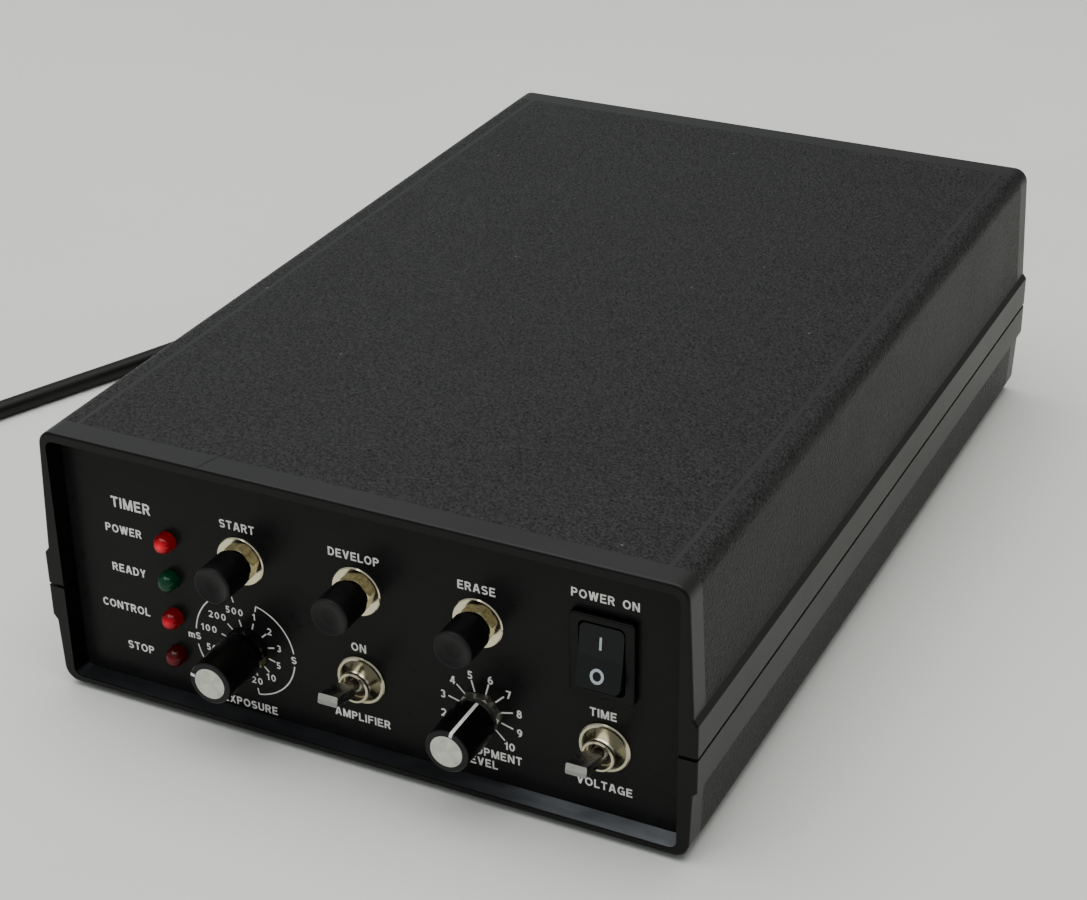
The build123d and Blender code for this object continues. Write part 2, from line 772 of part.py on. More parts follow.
# ---------------------------------------------------------------- rear panel and its fittings
fuse_hole = 6.1
relief_hole = 5.6
outlet_hole = (27.4, 20.4)
signal_hole = 8.1
outlet_screw_x = 20.0
signal_screw_x = 11.15

rear_panel = blank_panel(rear_inside, rear_face)
rear_panel -= rod(relief_hole, rear_inside - 1, rear_face + 1, cord_x, cord_z)
rear_panel -= rod(fuse_hole, rear_inside - 1, rear_face + 1, fuse_x, fuse_z)
rear_panel -= rod(signal_hole, rear_inside - 1, rear_face + 1, signal_x, signal_z)
rear_panel -= block(outlet_x - outlet_hole[0] / 2, outlet_x + outlet_hole[0] / 2, rear_inside - 1,
                    rear_face + 1, outlet_z - outlet_hole[1] / 2, outlet_z + outlet_hole[1] / 2)
rear_screw_places = [(outlet_x - outlet_screw_x, outlet_z), (outlet_x + outlet_screw_x, outlet_z),
                     (signal_x - signal_screw_x, signal_z), (signal_x + signal_screw_x, signal_z)]
for x, z in rear_screw_places:
    rear_panel -= rod(1.6, rear_inside - 1, rear_face + 1, x, z)
parts["rear_panel"] = rear_panel

fuse_bezel_back = rear_face + 2.0
fuse_cap_end = case_depth + abs(knob_front) + 0.05


def fuse_holder():
    """Flanged tube through the panel with a nut ring and two tags."""
    body = rod(8.0, rear_face, fuse_bezel_back, fuse_x, fuse_z)
    body += rod(fuse_hole - 0.1, rear_inside - 26.0, rear_face, fuse_x, fuse_z)
    body += rod(8.6, rear_inside - 3.0, rear_inside, fuse_x, fuse_z)
    body -= rod(5.2, rear_inside - 24.0, fuse_bezel_back + 1, fuse_x, fuse_z)
    for side in (-3.0, 3.0):
        body += block(fuse_x + side - 0.4, fuse_x + side + 0.4, rear_inside - 31.0, rear_inside - 25.0,
                      fuse_z - 1.6, fuse_z + 1.6)
    return body


def fuse_cap():
    """Bayonet cap with a fluted grip and a slot, and the sleeve that grips the fuse."""
    start = fuse_bezel_back + 0.25
    end = fuse_cap_end
    cap = turned([
        (0, start), (6.6, start), (6.6, start + 2.0), (6.0, start + 2.6), (5.8, end - 0.6),
        (5.2, end), (0, end),
    ], fuse_x, fuse_z)
    for i in range(16):
        angle = 2 * math.pi * i / 16
        cap -= rod(0.45, start + 3.2, end + 1, fuse_x + 6.0 * math.cos(angle), fuse_z + 6.0 * math.sin(angle))
    cap -= block(fuse_x - 4.6, fuse_x + 4.6, end - 1.2, end + 1, fuse_z - 0.6, fuse_z + 0.6)
    sleeve = rod(4.9, rear_face - 6.0, start + 0.5, fuse_x, fuse_z)
    return cap + sleeve - rod(2.55, rear_face - 7.0, rear_face - 1.0, fuse_x, fuse_z)


def fuse_link():
    """20 mm glass cartridge with its two end caps as one piece."""
    front = rear_face - 21.6
    body = rod(2.35, front + 4.0, front + 16.0, fuse_x, fuse_z)
    body += rod(2.5, front, front + 5.0, fuse_x, fuse_z)
    return body + rod(2.5, front + 15.0, front + 20.0, fuse_x, fuse_z)


parts["fuse_holder"] = fuse_holder()
parts["fuse_cap"] = fuse_cap()
parts["fuse_link"] = fuse_link()


def lamp_outlet():
    """Chassis outlet for the lamp: flange, cored block in a moat, three slots."""
    flange = block(-25.0, 25.0, rear_face, rear_face + 3.0, -11.5, 11.5)
    flange = fillet(flange.edges().filter_by(Axis.Y), 3.0)
    body = flange + block(-13.5, 13.5, rear_inside - 20.0, rear_face, -10.0, 10.0)
    moat = block(-12.0, 12.0, rear_inside - 14.0, rear_face + 4.0, -8.5, 8.5)
    core = block(-9.6, 9.6, rear_inside - 15.0, rear_face + 3.0, -6.1, 6.1)
    core = chamfer(core.edges().filter_by(Axis.Y).sort_by(Axis.Z)[-2:], 2.6)
    for x, z in ((-7.0, -1.6), (7.0, -1.6), (0.0, 2.4)):
        core -= block(x - 1.2, x + 1.2, rear_inside - 13.0, rear_face + 4.0, z - 3.1, z + 3.1)
    body = body - moat + core
    for side in (-1, 1):
        x = side * outlet_screw_x
        body -= rod(1.6, rear_face - 1, rear_face + 4, x, 0)
        body -= rod(2.9, rear_face + 1.6, rear_face + 4, x, 0)
    for x in (-7.0, 0.0, 7.0):
        body += block(x - 2.4, x + 2.4, rear_inside - 26.0, rear_inside - 19.0, -0.4, 0.4)
    return Pos(outlet_x, 0, outlet_z) * body


def signal_socket():
    """Five-pin round socket on an oval flange."""
    flange = along_y(SlotOverall(31.0, 18.6), rear_face, rear_face + 1.2)
    body = flange + rod(signal_hole - 0.15, rear_inside - 8.0, rear_face)
    body -= rod(6.9, rear_inside - 6.0, rear_face + 2.0) - rod(5.6, rear_inside - 7.0, rear_face + 0.4)
    for i in range(5):
        angle = math.radians(-180 + 45 * i)
        body -= rod(0.85, rear_inside - 5.0, rear_face + 2.0, 3.9 * math.cos(angle), 3.9 * math.sin(angle))
    for side in (-1, 1):
        body -= rod(1.6, rear_face - 1, rear_face + 4, side * signal_screw_x, 0)
    for x in (-4.0, -2.0, 0.0, 2.0, 4.0):
        body += block(x - 0.5, x + 0.5, rear_inside - 12.0, rear_inside - 7.5, -0.5, 0.5)
    return Pos(signal_x, 0, signal_z) * body


def rear_screw(x, z, seat):
    """Short cross-head screw with a nut inside the case."""
    head = rod(2.6, seat, seat + 1.6, x, z)
    head = chamfer(head.edges().filter_by(GeomType.CIRCLE).sort_by(Axis.Y)[-1], 0.5)
    head -= block(x - 1.6, x + 1.6, seat + 0.9, seat + 3, z - 0.35, z + 0.35)
    head -= block(x - 0.35, x + 0.35, seat + 0.9, seat + 3, z - 1.6, z + 1.6)
    return head + rod(1.5, rear_inside - 4.0, seat, x, z)


parts["lamp_outlet"] = lamp_outlet()
parts["signal_socket"] = signal_socket()
parts["rear_screws"] = group(
    rear_screw(x, z, rear_face + (1.6 if i < 2 else 1.2)) for i, (x, z) in enumerate(rear_screw_places)
)

relief_end = rear_face + 2.0 + relief_length


def strain_relief():
    """Snap-in bush with a tapered, ribbed sleeve that ends on the lead."""
    root = 5.3
    tip = 3.5
    outline = [
        (0, rear_inside - 2.2), (6.6, rear_inside - 2.2), (6.6, rear_inside - 0.1), (relief_hole - 0.1, rear_inside - 0.1),
        (relief_hole - 0.1, rear_face), (7.4, rear_face), (7.4, rear_face + 1.6), (6.9, rear_face + 2.0),
    ]
    ribs = 6
    pitch = (relief_length - 4.0) / ribs
    for i in range(ribs):
        y = rear_face + 2.0 + i * pitch
        radius = root + (tip - root) * (i * pitch) / relief_length
        outline += [(radius, y), (radius, y + pitch * 0.55), (radius - 0.9, y + pitch * 0.62),
                    (radius - 0.9, y + pitch * 0.93)]
    outline += [(tip + 0.25, relief_end - 4.0), (tip, relief_end), (0, relief_end)]
    return turned(outline, cord_x, cord_z)


parts["strain_relief"] = strain_relief()

# ---------------------------------------------------------------- mains lead
# Route of the lead from the sleeve, down to the table, round to the left and forward beside the case.
lead_points = [
    (cord_x, relief_end, cord_z),
    (-25.0, 316.0, 17.0),
    (-29.0, 350.0, cord_floor),
    (-48.0, 384.0, cord_floor),
    (-86.0, 382.0, cord_floor),
    (-109.0, 330.0, cord_floor),
    (-135.0, 254.0, cord_floor),
    (-163.0, 177.0, cord_floor),
    (-194.0, 107.0, cord_floor),
    (-210.0, 68.0, cord_floor),
]


def heading(a, b):
    """Unit vector on the table from a to b."""
    length = math.hypot(b[0] - a[0], b[1] - a[1])
    return ((b[0] - a[0]) / length, (b[1] - a[1]) / length)


# The lead runs straight into the outermost turn of the coil, which winds clockwise.
arrival = heading(lead_points[-2], lead_points[-1])
coil_centre = (lead_points[-1][0] + arrival[1] * coil_radii[0], lead_points[-1][1] - arrival[0] * coil_radii[0])
coil_height = 2 * cord_radius + (coil_layers - 1) * coil_pitch

# A quarter turn further on, the tail leaves the top layer for the plug.
departure = (arrival[1], -arrival[0])
tail_start = (coil_centre[0] + arrival[0] * coil_radii[0], coil_centre[1] + arrival[1] * coil_radii[0])
plug_sleeve = 14.0
plug_z = plug_thickness / 2 + 0.05


def on_tail(distance, height):
    """Point at a distance along the straight line of the tail."""
    return (tail_start[0] + departure[0] * distance, tail_start[1] + departure[1] * distance, height)


tail_points = [on_tail(9.0, coil_height - cord_radius), on_tail(24.0, 6.2), on_tail(44.0, plug_z)]


def corner_radii(points):
    """Bend radius at each inner point of a route."""
    radii = []
    for a, b, c in zip(points, points[1:], points[2:]):
        first = Vector(*b) - Vector(*a)
        second = Vector(*c) - Vector(*b)
        half_turn = math.radians(first.get_angle(second)) / 2
        radii.append(0.45 * min(first.length, second.length) / math.tan(half_turn))
    return radii


def cord_tube(name, points):
    """Round lead along straight runs joined by tangent arcs; prints what it measures."""
    radii = corner_radii(points)
    path = FilletPolyline(*points, radius=radii)
    tube = sweep(Plane(path @ 0, z_dir=path % 0) * Circle(cord_radius), path=path)
    section = math.pi * cord_radius ** 2
    print(name, "length", round(path.length, 1), "volume ratio", round(tube.volume / (section * path.length), 4),
          "radii", [round(r) for r in radii])
    return tube


parts["mains_lead"] = group([cord_tube("lead", lead_points), cord_tube("tail", tail_points)])

coil_outer = coil_radii[0] + cord_radius
coil_inner = coil_radii[-1] - cord_radius
coil_ring = post(coil_outer, 0.05, coil_height, *coil_centre) - post(coil_inner, 0, coil_height + 1, *coil_centre)
parts["mains_lead_coil"] = fillet(coil_ring.edges().filter_by(GeomType.CIRCLE), cord_radius * 0.8)
mean_coil_radius = sum(coil_radii) / len(coil_radii)
print("coil length", round(2 * math.pi * mean_coil_radius * coil_turns, 1))


def mains_plug():
    """Two-pin moulded plug lying on its flat side, drawn with its lead end at the origin."""
    sleeve = turned([(0, 0), (3.5, 0), (5.2, plug_sleeve), (0, plug_sleeve)])
    flat = Pos(0, plug_sleeve + plug_length / 2) * Rectangle(plug_width, plug_length)
    outline = chamfer(flat.vertices().sort_by(Axis.Y)[:2], 9.0, 12.0)
    outline = fillet(outline.vertices(), 2.0)
    body = Pos(0, 0, -plug_thickness / 2) * extrude(outline, plug_thickness)
    flats = body.faces().sort_by(Axis.Z)
    body = fillet(flats[0].edges() + flats[-1].edges(), 1.6)
    plug = sleeve + body
    front = plug_sleeve + plug_length
    for x in (-9.3, 9.3):
        plug += rod(1.9, front - 2.0, front + 9.0, x, 0)
        plug += rod(2.0, front + 9.0, front + 18.0, x, 0)
        plug += Pos(x, front + 18.0, 0) * Sphere(2.0)
    return plug


plug_start = on_tail(44.0, plug_z)
plug_angle = math.degrees(math.atan2(departure[1], departure[0])) - 90
parts["mains_plug"] = Pos(*plug_start) * Rot(0, 0, plug_angle) * mains_plug()


# ---------------------------------------------------------------- wires inside the case
def wire(points, radius=0.7):
    """Insulated wire on a smooth curve."""
    path = Spline(*points)
    return sweep(Plane(path @ 0, z_dir=path % 0) * Circle(radius), path=path)


wire_height = board_top + 4.0
parts["wiring"] = group([
    wire([(cord_x, rear_inside - 2.4, cord_z), (-24.0, 240.0, 14.0), (-44.0, 224.0, 20.0), (-58.0, 221.0, 25.0)]),
    wire([(-57.0, 219.0, 29.0), (-66.0, 205.0, 34.0), (-64.0, 182.0, 28.0), (-55.0, 162.0, board_top + 0.8)]),
    wire([(-30.0, 178.0, 32.0), (-22.0, 172.0, 26.0), (-14.0, 160.0, board_top + 0.8)]),
    wire([(38.0, 227.0, 42.5), (36.0, 205.0, 36.0), (24.0, 180.0, 26.0), (14.0, 166.0, board_top + 0.8)]),
    wire([(-25.0, 241.0, 50.0), (-6.0, 225.0, 52.0), (10.0, 195.0, 34.0), (0.0, 165.0, board_top + 0.8)]),
    wire([(columns[3], 28.6, 45.0), (58.0, 38.0, 42.0), (56.0, 56.0, 28.0), (50.0, 62.0, board_top + 0.8)]),
    wire([(columns[1], 23.6, 24.0), (-4.0, 34.0, 30.0), (-6.0, 50.0, 24.0), (-6.0, 58.0, board_top + 0.8)]),
])

# ---------------------------------------------------------------- export
os.makedirs("parts", exist_ok=True)
to_origin = Pos(0, -case_depth / 2, 0)
for name, shape in parts.items():
    export_step(to_origin * shape, "parts/" + name + ".step")
print(len(parts), "nodes")
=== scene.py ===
"""Looks, lights and camera for the darkroom exposure timer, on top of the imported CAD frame."""
import bpy
import math
from mathutils import Matrix, Quaternion, Vector


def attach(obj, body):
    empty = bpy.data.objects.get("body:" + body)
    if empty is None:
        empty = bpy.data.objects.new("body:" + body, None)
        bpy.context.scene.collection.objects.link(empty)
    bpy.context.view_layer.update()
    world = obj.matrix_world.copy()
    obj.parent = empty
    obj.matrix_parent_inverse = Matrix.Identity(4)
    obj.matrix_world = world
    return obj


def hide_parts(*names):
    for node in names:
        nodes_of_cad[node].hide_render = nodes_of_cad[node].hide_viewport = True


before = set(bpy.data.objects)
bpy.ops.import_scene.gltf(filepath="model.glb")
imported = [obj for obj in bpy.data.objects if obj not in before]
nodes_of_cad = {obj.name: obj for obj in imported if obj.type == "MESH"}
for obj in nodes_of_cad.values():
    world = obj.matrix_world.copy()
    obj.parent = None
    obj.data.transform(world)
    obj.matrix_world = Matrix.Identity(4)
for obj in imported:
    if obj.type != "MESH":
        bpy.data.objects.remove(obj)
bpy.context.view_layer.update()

MM = 0.001
CASE_DEPTH = 261.0
HALF_DEPTH = CASE_DEPTH / 2  # the row frame's origin lies this far behind the front rim
END_STRIP = 7.0              # smooth strip at each end of the case
BAND_MIDDLE = 29.4           # height of the groove between the two covers
BAND_HALF = 10.6
LINE_ACROSS = (77.1, 78.3)   # the smooth lines along the top, from the middle plane
TOP_EDGE = 72.5              # everything above this height is the top face
PANEL_FACE = 5.0
KNOB_FRONT = -12.0           # places in front of the rim count as negative
COLUMNS = [-32.45 + 31.8 * i for i in range(4)]
UPPER_ROW = 47.6
LOWER_ROW = 22.6


def at(x, y, z):
    """Row-frame point, from millimetres with y counted back from the front rim."""
    return Vector((x * MM, (y - HALF_DEPTH) * MM, z * MM))


# ---------------------------------------------------------------- camera
def make_camera():
    """Long lens from the front right, looking down; the horizon leans by less than a degree."""
    data = bpy.data.cameras.new("camera")
    data.lens = 75.87
    data.sensor_width = 36.0
    data.clip_start = 0.01
    camera = bpy.data.objects.new("camera", data)
    bpy.context.scene.collection.objects.link(camera)
    place = Vector((0.23987, -0.51059, 0.33053))
    forward = Vector((-0.39096, 0.78598, -0.47895))
    lean = Quaternion((0, 0, 1), math.radians(-0.777))
    turn = forward.to_track_quat("-Z", "Y") @ lean
    camera.matrix_world = Matrix.Translation(place) @ turn.to_matrix().to_4x4()
    bpy.context.scene.camera = camera


make_camera()


# ---------------------------------------------------------------- shader building blocks
class Shader:
    """A material under construction, with short ways to add nodes."""

    def __init__(self, name):
        self.material = bpy.data.materials.new(name)
        self.material.use_nodes = True
        self.tree = self.material.node_tree
        self.principled = self.tree.nodes["Principled BSDF"]
        coordinates = self.tree.nodes.new("ShaderNodeTexCoord")
        self.place = coordinates.outputs["Object"]

    def add(self, kind, **values):
        node = self.tree.nodes.new(kind)
        for key, value in values.items():
            setattr(node, key, value)
        return node

    def feed(self, socket, value):
        """Link an output, or set a plain value."""
        if isinstance(value, bpy.types.NodeSocket):
            self.tree.links.new(value, socket)
        else:
            socket.default_value = value

    def math(self, operation, first, second=0.0, third=None):
        node = self.add("ShaderNodeMath", operation=operation)
        self.feed(node.inputs[0], first)
        self.feed(node.inputs[1], second)
        if third is not None:
            self.feed(node.inputs[2], third)
        return node.outputs[0]

    def noise(self, size, detail=3.0, distortion=0.0, stretch=None):
        """Noise with features about this many millimetres across."""
        node = self.add("ShaderNodeTexNoise")
        node.inputs["Scale"].default_value = 1.0 / (size * MM)
        node.inputs["Detail"].default_value = detail
        node.inputs["Distortion"].default_value = distortion
        where = self.place
        if stretch is not None:
            mapping = self.add("ShaderNodeMapping")
            mapping.inputs["Scale"].default_value = stretch
            self.feed(mapping.inputs["Vector"], where)
            where = mapping.outputs["Vector"]
        self.feed(node.inputs["Vector"], where)
        return node.outputs["Fac"]

    def cells(self, size):
        """Rounded cells about this many millimetres across."""
        node = self.add("ShaderNodeTexVoronoi", feature="SMOOTH_F1")
        node.inputs["Scale"].default_value = 1.0 / (size * MM)
        node.inputs["Smoothness"].default_value = 0.5
        self.feed(node.inputs["Vector"], self.place)
        return node.outputs["Distance"]

    def axes(self):
        """The row frame's x, y and z."""
        node = self.add("ShaderNodeSeparateXYZ")
        self.feed(node.inputs[0], self.place)
        return node.outputs

    def reach(self, aside, above):
        """Distance from an axis, from the two offsets across it."""
        square = self.math("MULTIPLY_ADD", aside, aside, self.math("MULTIPLY", above, above))
        return self.math("SQRT", square)

    def usual_colour(self):
        """What the base colour is fed with so far."""
        return self.principled.inputs["Base Color"].links[0].from_socket

    def spread(self, value, low, high):
        """The middle of a noise, 0.3 to 0.7, moved to another range."""
        node = self.add("ShaderNodeMapRange")
        node.inputs["From Min"].default_value = 0.3
        node.inputs["From Max"].default_value = 0.7
        self.feed(node.inputs["Value"], value)
        self.feed(node.inputs["To Min"], low)
        self.feed(node.inputs["To Max"], high)
        return node.outputs["Result"]

    def blend(self, factor, first, second):
        """Colour between two others."""
        node = self.add("ShaderNodeMix", data_type="RGBA")
        self.feed(node.inputs["Factor"], factor)
        self.feed(node.inputs["A"], first)
        self.feed(node.inputs["B"], second)
        return node.outputs["Result"]

    def relief(self, height, depth):
        """Bump of this depth in millimetres."""
        node = self.add("ShaderNodeBump")
        node.inputs["Distance"].default_value = depth * MM
        self.feed(node.inputs["Height"], height)
        self.feed(self.principled.inputs["Normal"], node.outputs["Normal"])

    def set(self, **values):
        for key, value in values.items():
            self.feed(self.principled.inputs[key.replace("_", " ")], value)


def rgba(colour, gain=1.0):
    return tuple(min(1.0, c * gain) for c in colour) + (1.0,)


def surface(name, colour, roughness, metallic=0.0, drift=0.15, drift_size=6.0, wear=0.06,
            grain=0.4, depth=0.004, specular=0.5, stretch=None):
    """Plain material whose colour and roughness drift a little, with a fine relief."""
    shader = Shader(name)
    broad = shader.noise(drift_size, 4.0)
    fine = shader.noise(grain, 2.0, stretch=stretch)
    tint = shader.spread(broad, 0.0, 1.0)
    shader.set(Base_Color=shader.blend(tint, rgba(colour, 1 - drift), rgba(colour, 1 + drift)))
    shader.set(Roughness=shader.spread(broad, roughness - wear, roughness + wear))
    shader.principled.inputs["Metallic"].default_value = metallic
    shader.principled.inputs["Specular IOR Level"].default_value = specular
    shader.relief(fine, depth)
    return shader


def paint(node, material):
    """Give a CAD node or an own piece this material only."""
    thing = nodes_of_cad[node] if isinstance(node, str) else node
    thing.data.materials.clear()
    thing.data.materials.append(material)


# ---------------------------------------------------------------- moulded case
def between(shader, value, low, high):
    """1 where a coordinate lies between two places in millimetres, else 0."""
    above = shader.math("GREATER_THAN", value, low * MM)
    return shader.math("MULTIPLY", above, shader.math("LESS_THAN", value, high * MM))


def lip_wear(shader, x, y, z):
    """How strongly a painted highlight lies on the ledge under the front panel; most towards the right,
    broken into streaks.
    """
    front = 0.3 - HALF_DEPTH
    back = 5.2 - HALF_DEPTH
    ledge = shader.math("MULTIPLY", between(shader, y, front, back), between(shader, z, 3.3, 4.7))
    towards_right = shader.add("ShaderNodeMapRange", interpolation_type="SMOOTHSTEP")
    shader.feed(towards_right.inputs["Value"], x)
    towards_right.inputs["From Min"].default_value = 15.0 * MM
    towards_right.inputs["From Max"].default_value = 78.0 * MM
    towards_right.inputs["To Min"].default_value = 0.09
    streaks = shader.spread(shader.noise(6.0, 4.0, 0.3, stretch=(0.35, 1.0, 1.0)), 0.35, 1.0)
    return shader.math("MULTIPLY", ledge, shader.math("MULTIPLY", towards_right.outputs["Result"], streaks))


def dust(shader, z):
    """A few pale flecks on the top face; one cell of the pattern in twenty holds one."""
    cell = 13.0
    fleck_share = 0.05
    fleck_radius = 0.026         # in cells
    node = shader.add("ShaderNodeTexVoronoi", voronoi_dimensions="2D")
    node.inputs["Scale"].default_value = 1.0 / (cell * MM)
    shader.feed(node.inputs["Vector"], shader.place)
    pick = shader.add("ShaderNodeSeparateColor")
    shader.feed(pick.inputs[0], node.outputs["Color"])
    chosen = shader.math("GREATER_THAN", pick.outputs[0], 1 - fleck_share)
    on_top = shader.math("GREATER_THAN", z, 73.0 * MM)
    fleck = shader.math("LESS_THAN", node.outputs["Distance"], fleck_radius)
    return shader.math("MULTIPLY", on_top, shader.math("MULTIPLY", chosen, fleck))


def scratch(shader, x, y, z):
    """One fine slanting scratch across the front strip, left of the middle."""
    start_left = 39.5
    slope = 0.25
    half_width = 0.22
    from_front = shader.math("ADD", y, HALF_DEPTH * MM)
    offset = shader.math("MULTIPLY_ADD", from_front, -slope, start_left * MM)
    off_line = shader.math("ABSOLUTE", shader.math("ADD", x, offset))
    on_line = shader.math("LESS_THAN", off_line, half_width * MM)
    on_strip = shader.math("MULTIPLY", shader.math("LESS_THAN", y, (6.6 - HALF_DEPTH) * MM),
                           shader.math("GREATER_THAN", z, 71.0 * MM))
    return shader.math("MULTIPLY", on_line, on_strip)


def grained_area(shader, across, from_end, z):
    """1 on the leather grain, 0 on the end strips, the bands and the lines along the top."""
    strip = shader.math("LESS_THAN", from_end, END_STRIP * MM)
    band = between(shader, z, BAND_MIDDLE - BAND_HALF, BAND_MIDDLE + BAND_HALF)
    on_top = shader.math("GREATER_THAN", z, TOP_EDGE * MM)
    line = shader.math("MULTIPLY", between(shader, across, *LINE_ACROSS), on_top)
    smooth = shader.math("MAXIMUM", shader.math("MAXIMUM", strip, band), line)
    return shader.math("SUBTRACT", 1.0, smooth)


def darker_rim(shader, across, from_end, z):
    """1 on the two end faces and inside the frame round a panel, where painted shade makes the plastic near
    black.
    """
    in_depth = shader.math("LESS_THAN", from_end, 5.3 * MM)
    in_width = shader.math("LESS_THAN", across, 83.0 * MM)
    in_height = between(shader, z, 3.2, 71.2)
    inside = shader.math("MULTIPLY", in_depth, shader.math("MULTIPLY", in_width, in_height))
    return shader.math("MAXIMUM", inside, shader.math("LESS_THAN", from_end, 0.45 * MM))


def case_material():
    """Leather-grained black plastic with smooth bands, end strips and a smooth line along the top."""
    shader = Shader("case_plastic")
    x, y, z = shader.axes()
    across = shader.math("ABSOLUTE", x)
    from_end = shader.math("SUBTRACT", HALF_DEPTH * MM, shader.math("ABSOLUTE", y))
    grained_here = grained_area(shader, across, from_end, z)

    pebbles = shader.cells(0.75)
    creases = shader.noise(0.5, 3.0, 0.6)
    shader.relief(shader.math("MULTIPLY", shader.math("ADD", pebbles, creases), grained_here), 0.36)

    broad = shader.noise(35.0, 4.0)
    speckle = shader.spread(shader.noise(0.8, 2.0, 0.4), 0.0, 1.0)
    grained = shader.blend(speckle, rgba((0.0005, 0.0005, 0.0005)), rgba((0.0275, 0.0278, 0.0270)))
    cloud = shader.spread(broad, 0.0, 1.0)
    plain = shader.blend(cloud, rgba((0.0185, 0.0186, 0.0181)), rgba((0.0225, 0.0226, 0.0220)))
    # Painted shade: the end faces and the inside of the frame round the panels are darkened nearly to black.
    plain = shader.blend(darker_rim(shader, across, from_end, z), plain, rgba((0.0006, 0.0006, 0.0006)))
    colour = shader.blend(grained_here, plain, grained)
    # Painted highlight: a pale grey-blue sheen laid on the ledge under the panel.
    colour = shader.blend(lip_wear(shader, x, y, z), colour, rgba((0.165, 0.178, 0.195)))
    colour = shader.blend(scratch(shader, x, y, z), colour, rgba((0.002, 0.002, 0.002)))
    shader.set(Base_Color=shader.blend(dust(shader, z), colour, rgba((0.11, 0.11, 0.10))))
    base_roughness = shader.spread(broad, 0.36, 0.42)
    shader.set(Roughness=shader.math("MULTIPLY_ADD", grained_here, 0.10, base_roughness))
    shader.principled.inputs["Specular IOR Level"].default_value = 0.19
    return shader.material


case_plastic = case_material()
for node in ("top_cover", "bottom_cover"):
    paint(node, case_plastic)

# ---------------------------------------------------------------- panels
panel = surface("panel_black", (0.0085, 0.0088, 0.0084), 0.30, drift=0.1, grain=0.5, depth=0.002,
                specular=0.09)
paint("front_panel", panel.material)
paint("rear_panel", surface("rear_panel_black", (0.012, 0.012, 0.012), 0.45, grain=0.5, depth=0.01).material)

LAMP_COLUMN = -53.4
LAMP_ROWS = {"power": 47.6, "ready": 36.75, "control": 25.9, "stop": 15.05}
CHIP_ASIDE = 0.25            # the chip sits a little off the lens's axis
CHIP_ABOVE = 0.35
GLOW_RADIUS = 2.2
GLOW_FALLOFF = 1.5
GLOW_FLOOR = 0.08            # share of the glow left at the lens's edge


def lens(name, lamp, colour, glow, roughness=0.10):
    """Tinted epoxy; the lit ones glow most near their own axis, in front of the chip."""
    shader = surface(name, colour, roughness, drift=0.1, drift_size=2.0, wear=0.03, grain=0.8, depth=0.001)
    shader.principled.inputs["IOR"].default_value = 1.5
    shader.principled.inputs["Specular IOR Level"].default_value = 0.25
    if glow > 0:
        axes = shader.axes()
        aside = shader.math("SUBTRACT", axes["X"], (LAMP_COLUMN + CHIP_ASIDE) * MM)
        above = shader.math("SUBTRACT", axes["Z"], (LAMP_ROWS[lamp] + CHIP_ABOVE) * MM)
        reach = shader.math("DIVIDE", shader.reach(aside, above), GLOW_RADIUS * MM)
        middle = shader.math("MAXIMUM", shader.math("SUBTRACT", 1.0, reach), 0.0)
        power = shader.math("POWER", middle, GLOW_FALLOFF)
        strength = shader.math("MULTIPLY_ADD", power, glow, glow * GLOW_FLOOR)
        shader.feed(shader.principled.inputs["Emission Color"],
                    shader.blend(power, rgba((1.0, 0.0, 0.015)), rgba((1.0, 0.0, 0.04))))
        shader.feed(shader.principled.inputs["Emission Strength"], strength)
    return shader.material


paint("power_led", lens("lens_red_lit", "power", (0.05, 0.0002, 0.0008), 1.0))
paint("control_led", lens("lens_red_lit_dimmer", "control", (0.045, 0.0002, 0.0008), 0.62))
paint("stop_led", lens("lens_red_dark", "stop", (0.026, 0.0003, 0.0008), 0.10))
paint("ready_led", lens("lens_green", "ready", (0.0003, 0.040, 0.016), 0.0))
paint("led_clips", surface("clip_black", (0.015, 0.015, 0.015), 0.5).material)


def tinted_beyond(shader, axis, place, colour):
    """Another base colour where the coordinate is below this place, in millimetres."""
    past = shader.math("LESS_THAN", shader.axes()["XYZ".index(axis)], place * MM)
    shader.set(Base_Color=shader.blend(past, shader.usual_colour(), rgba(colour)))


# ---------------------------------------------------------------- switch gear
cap_black = surface("cap_black", (0.0016, 0.0016, 0.0017), 0.42, drift=0.2, drift_size=4.0, grain=0.4,
                    depth=0.004, specular=0.2)
nickel = surface("nickel", (0.66, 0.60, 0.43), 0.17, 1.0, drift=0.08, drift_size=3.0, wear=0.04, grain=0.6,
                 depth=0.0006)
turned_nickel = surface("turned_nickel", (0.55, 0.51, 0.38), 0.20, 1.0, drift=0.1, drift_size=2.0, wear=0.04,
                        grain=0.25, depth=0.0008)
lever_chrome = surface("lever_chrome", (0.34, 0.335, 0.32), 0.26, 1.0, drift=0.15, drift_size=3.0,
                       wear=0.05, grain=0.4, depth=0.001)
phenolic = surface("switch_housing", (0.05, 0.022, 0.014), 0.32, drift=0.2, drift_size=3.0, grain=0.4,
                   depth=0.02)
bezel_black = surface("bezel_black", (0.0012, 0.0012, 0.0013), 0.40, drift=0.15, grain=0.35, depth=0.003,
                      specular=0.15)
rocker_black = surface("rocker_black", (0.0030, 0.0034, 0.0044), 0.38, drift=0.15, grain=0.35, depth=0.003,
                       specular=0.2)
dull_steel = surface("dull_steel", (0.36, 0.35, 0.29), 0.42, 1.0, drift=0.25, drift_size=1.5, wear=0.08,
                     grain=0.4, depth=0.004)
knob_black = surface("knob_black", (0.0016, 0.0016, 0.0016), 0.30, drift=0.2, drift_size=4.0, wear=0.04,
                     grain=0.6, depth=0.0008, specular=0.16)
nut_plate = surface("nut_plate", (0.42, 0.37, 0.22), 0.19, 1.0, drift=0.45, drift_size=1.3, wear=0.06,
                    grain=0.6, depth=0.0008)

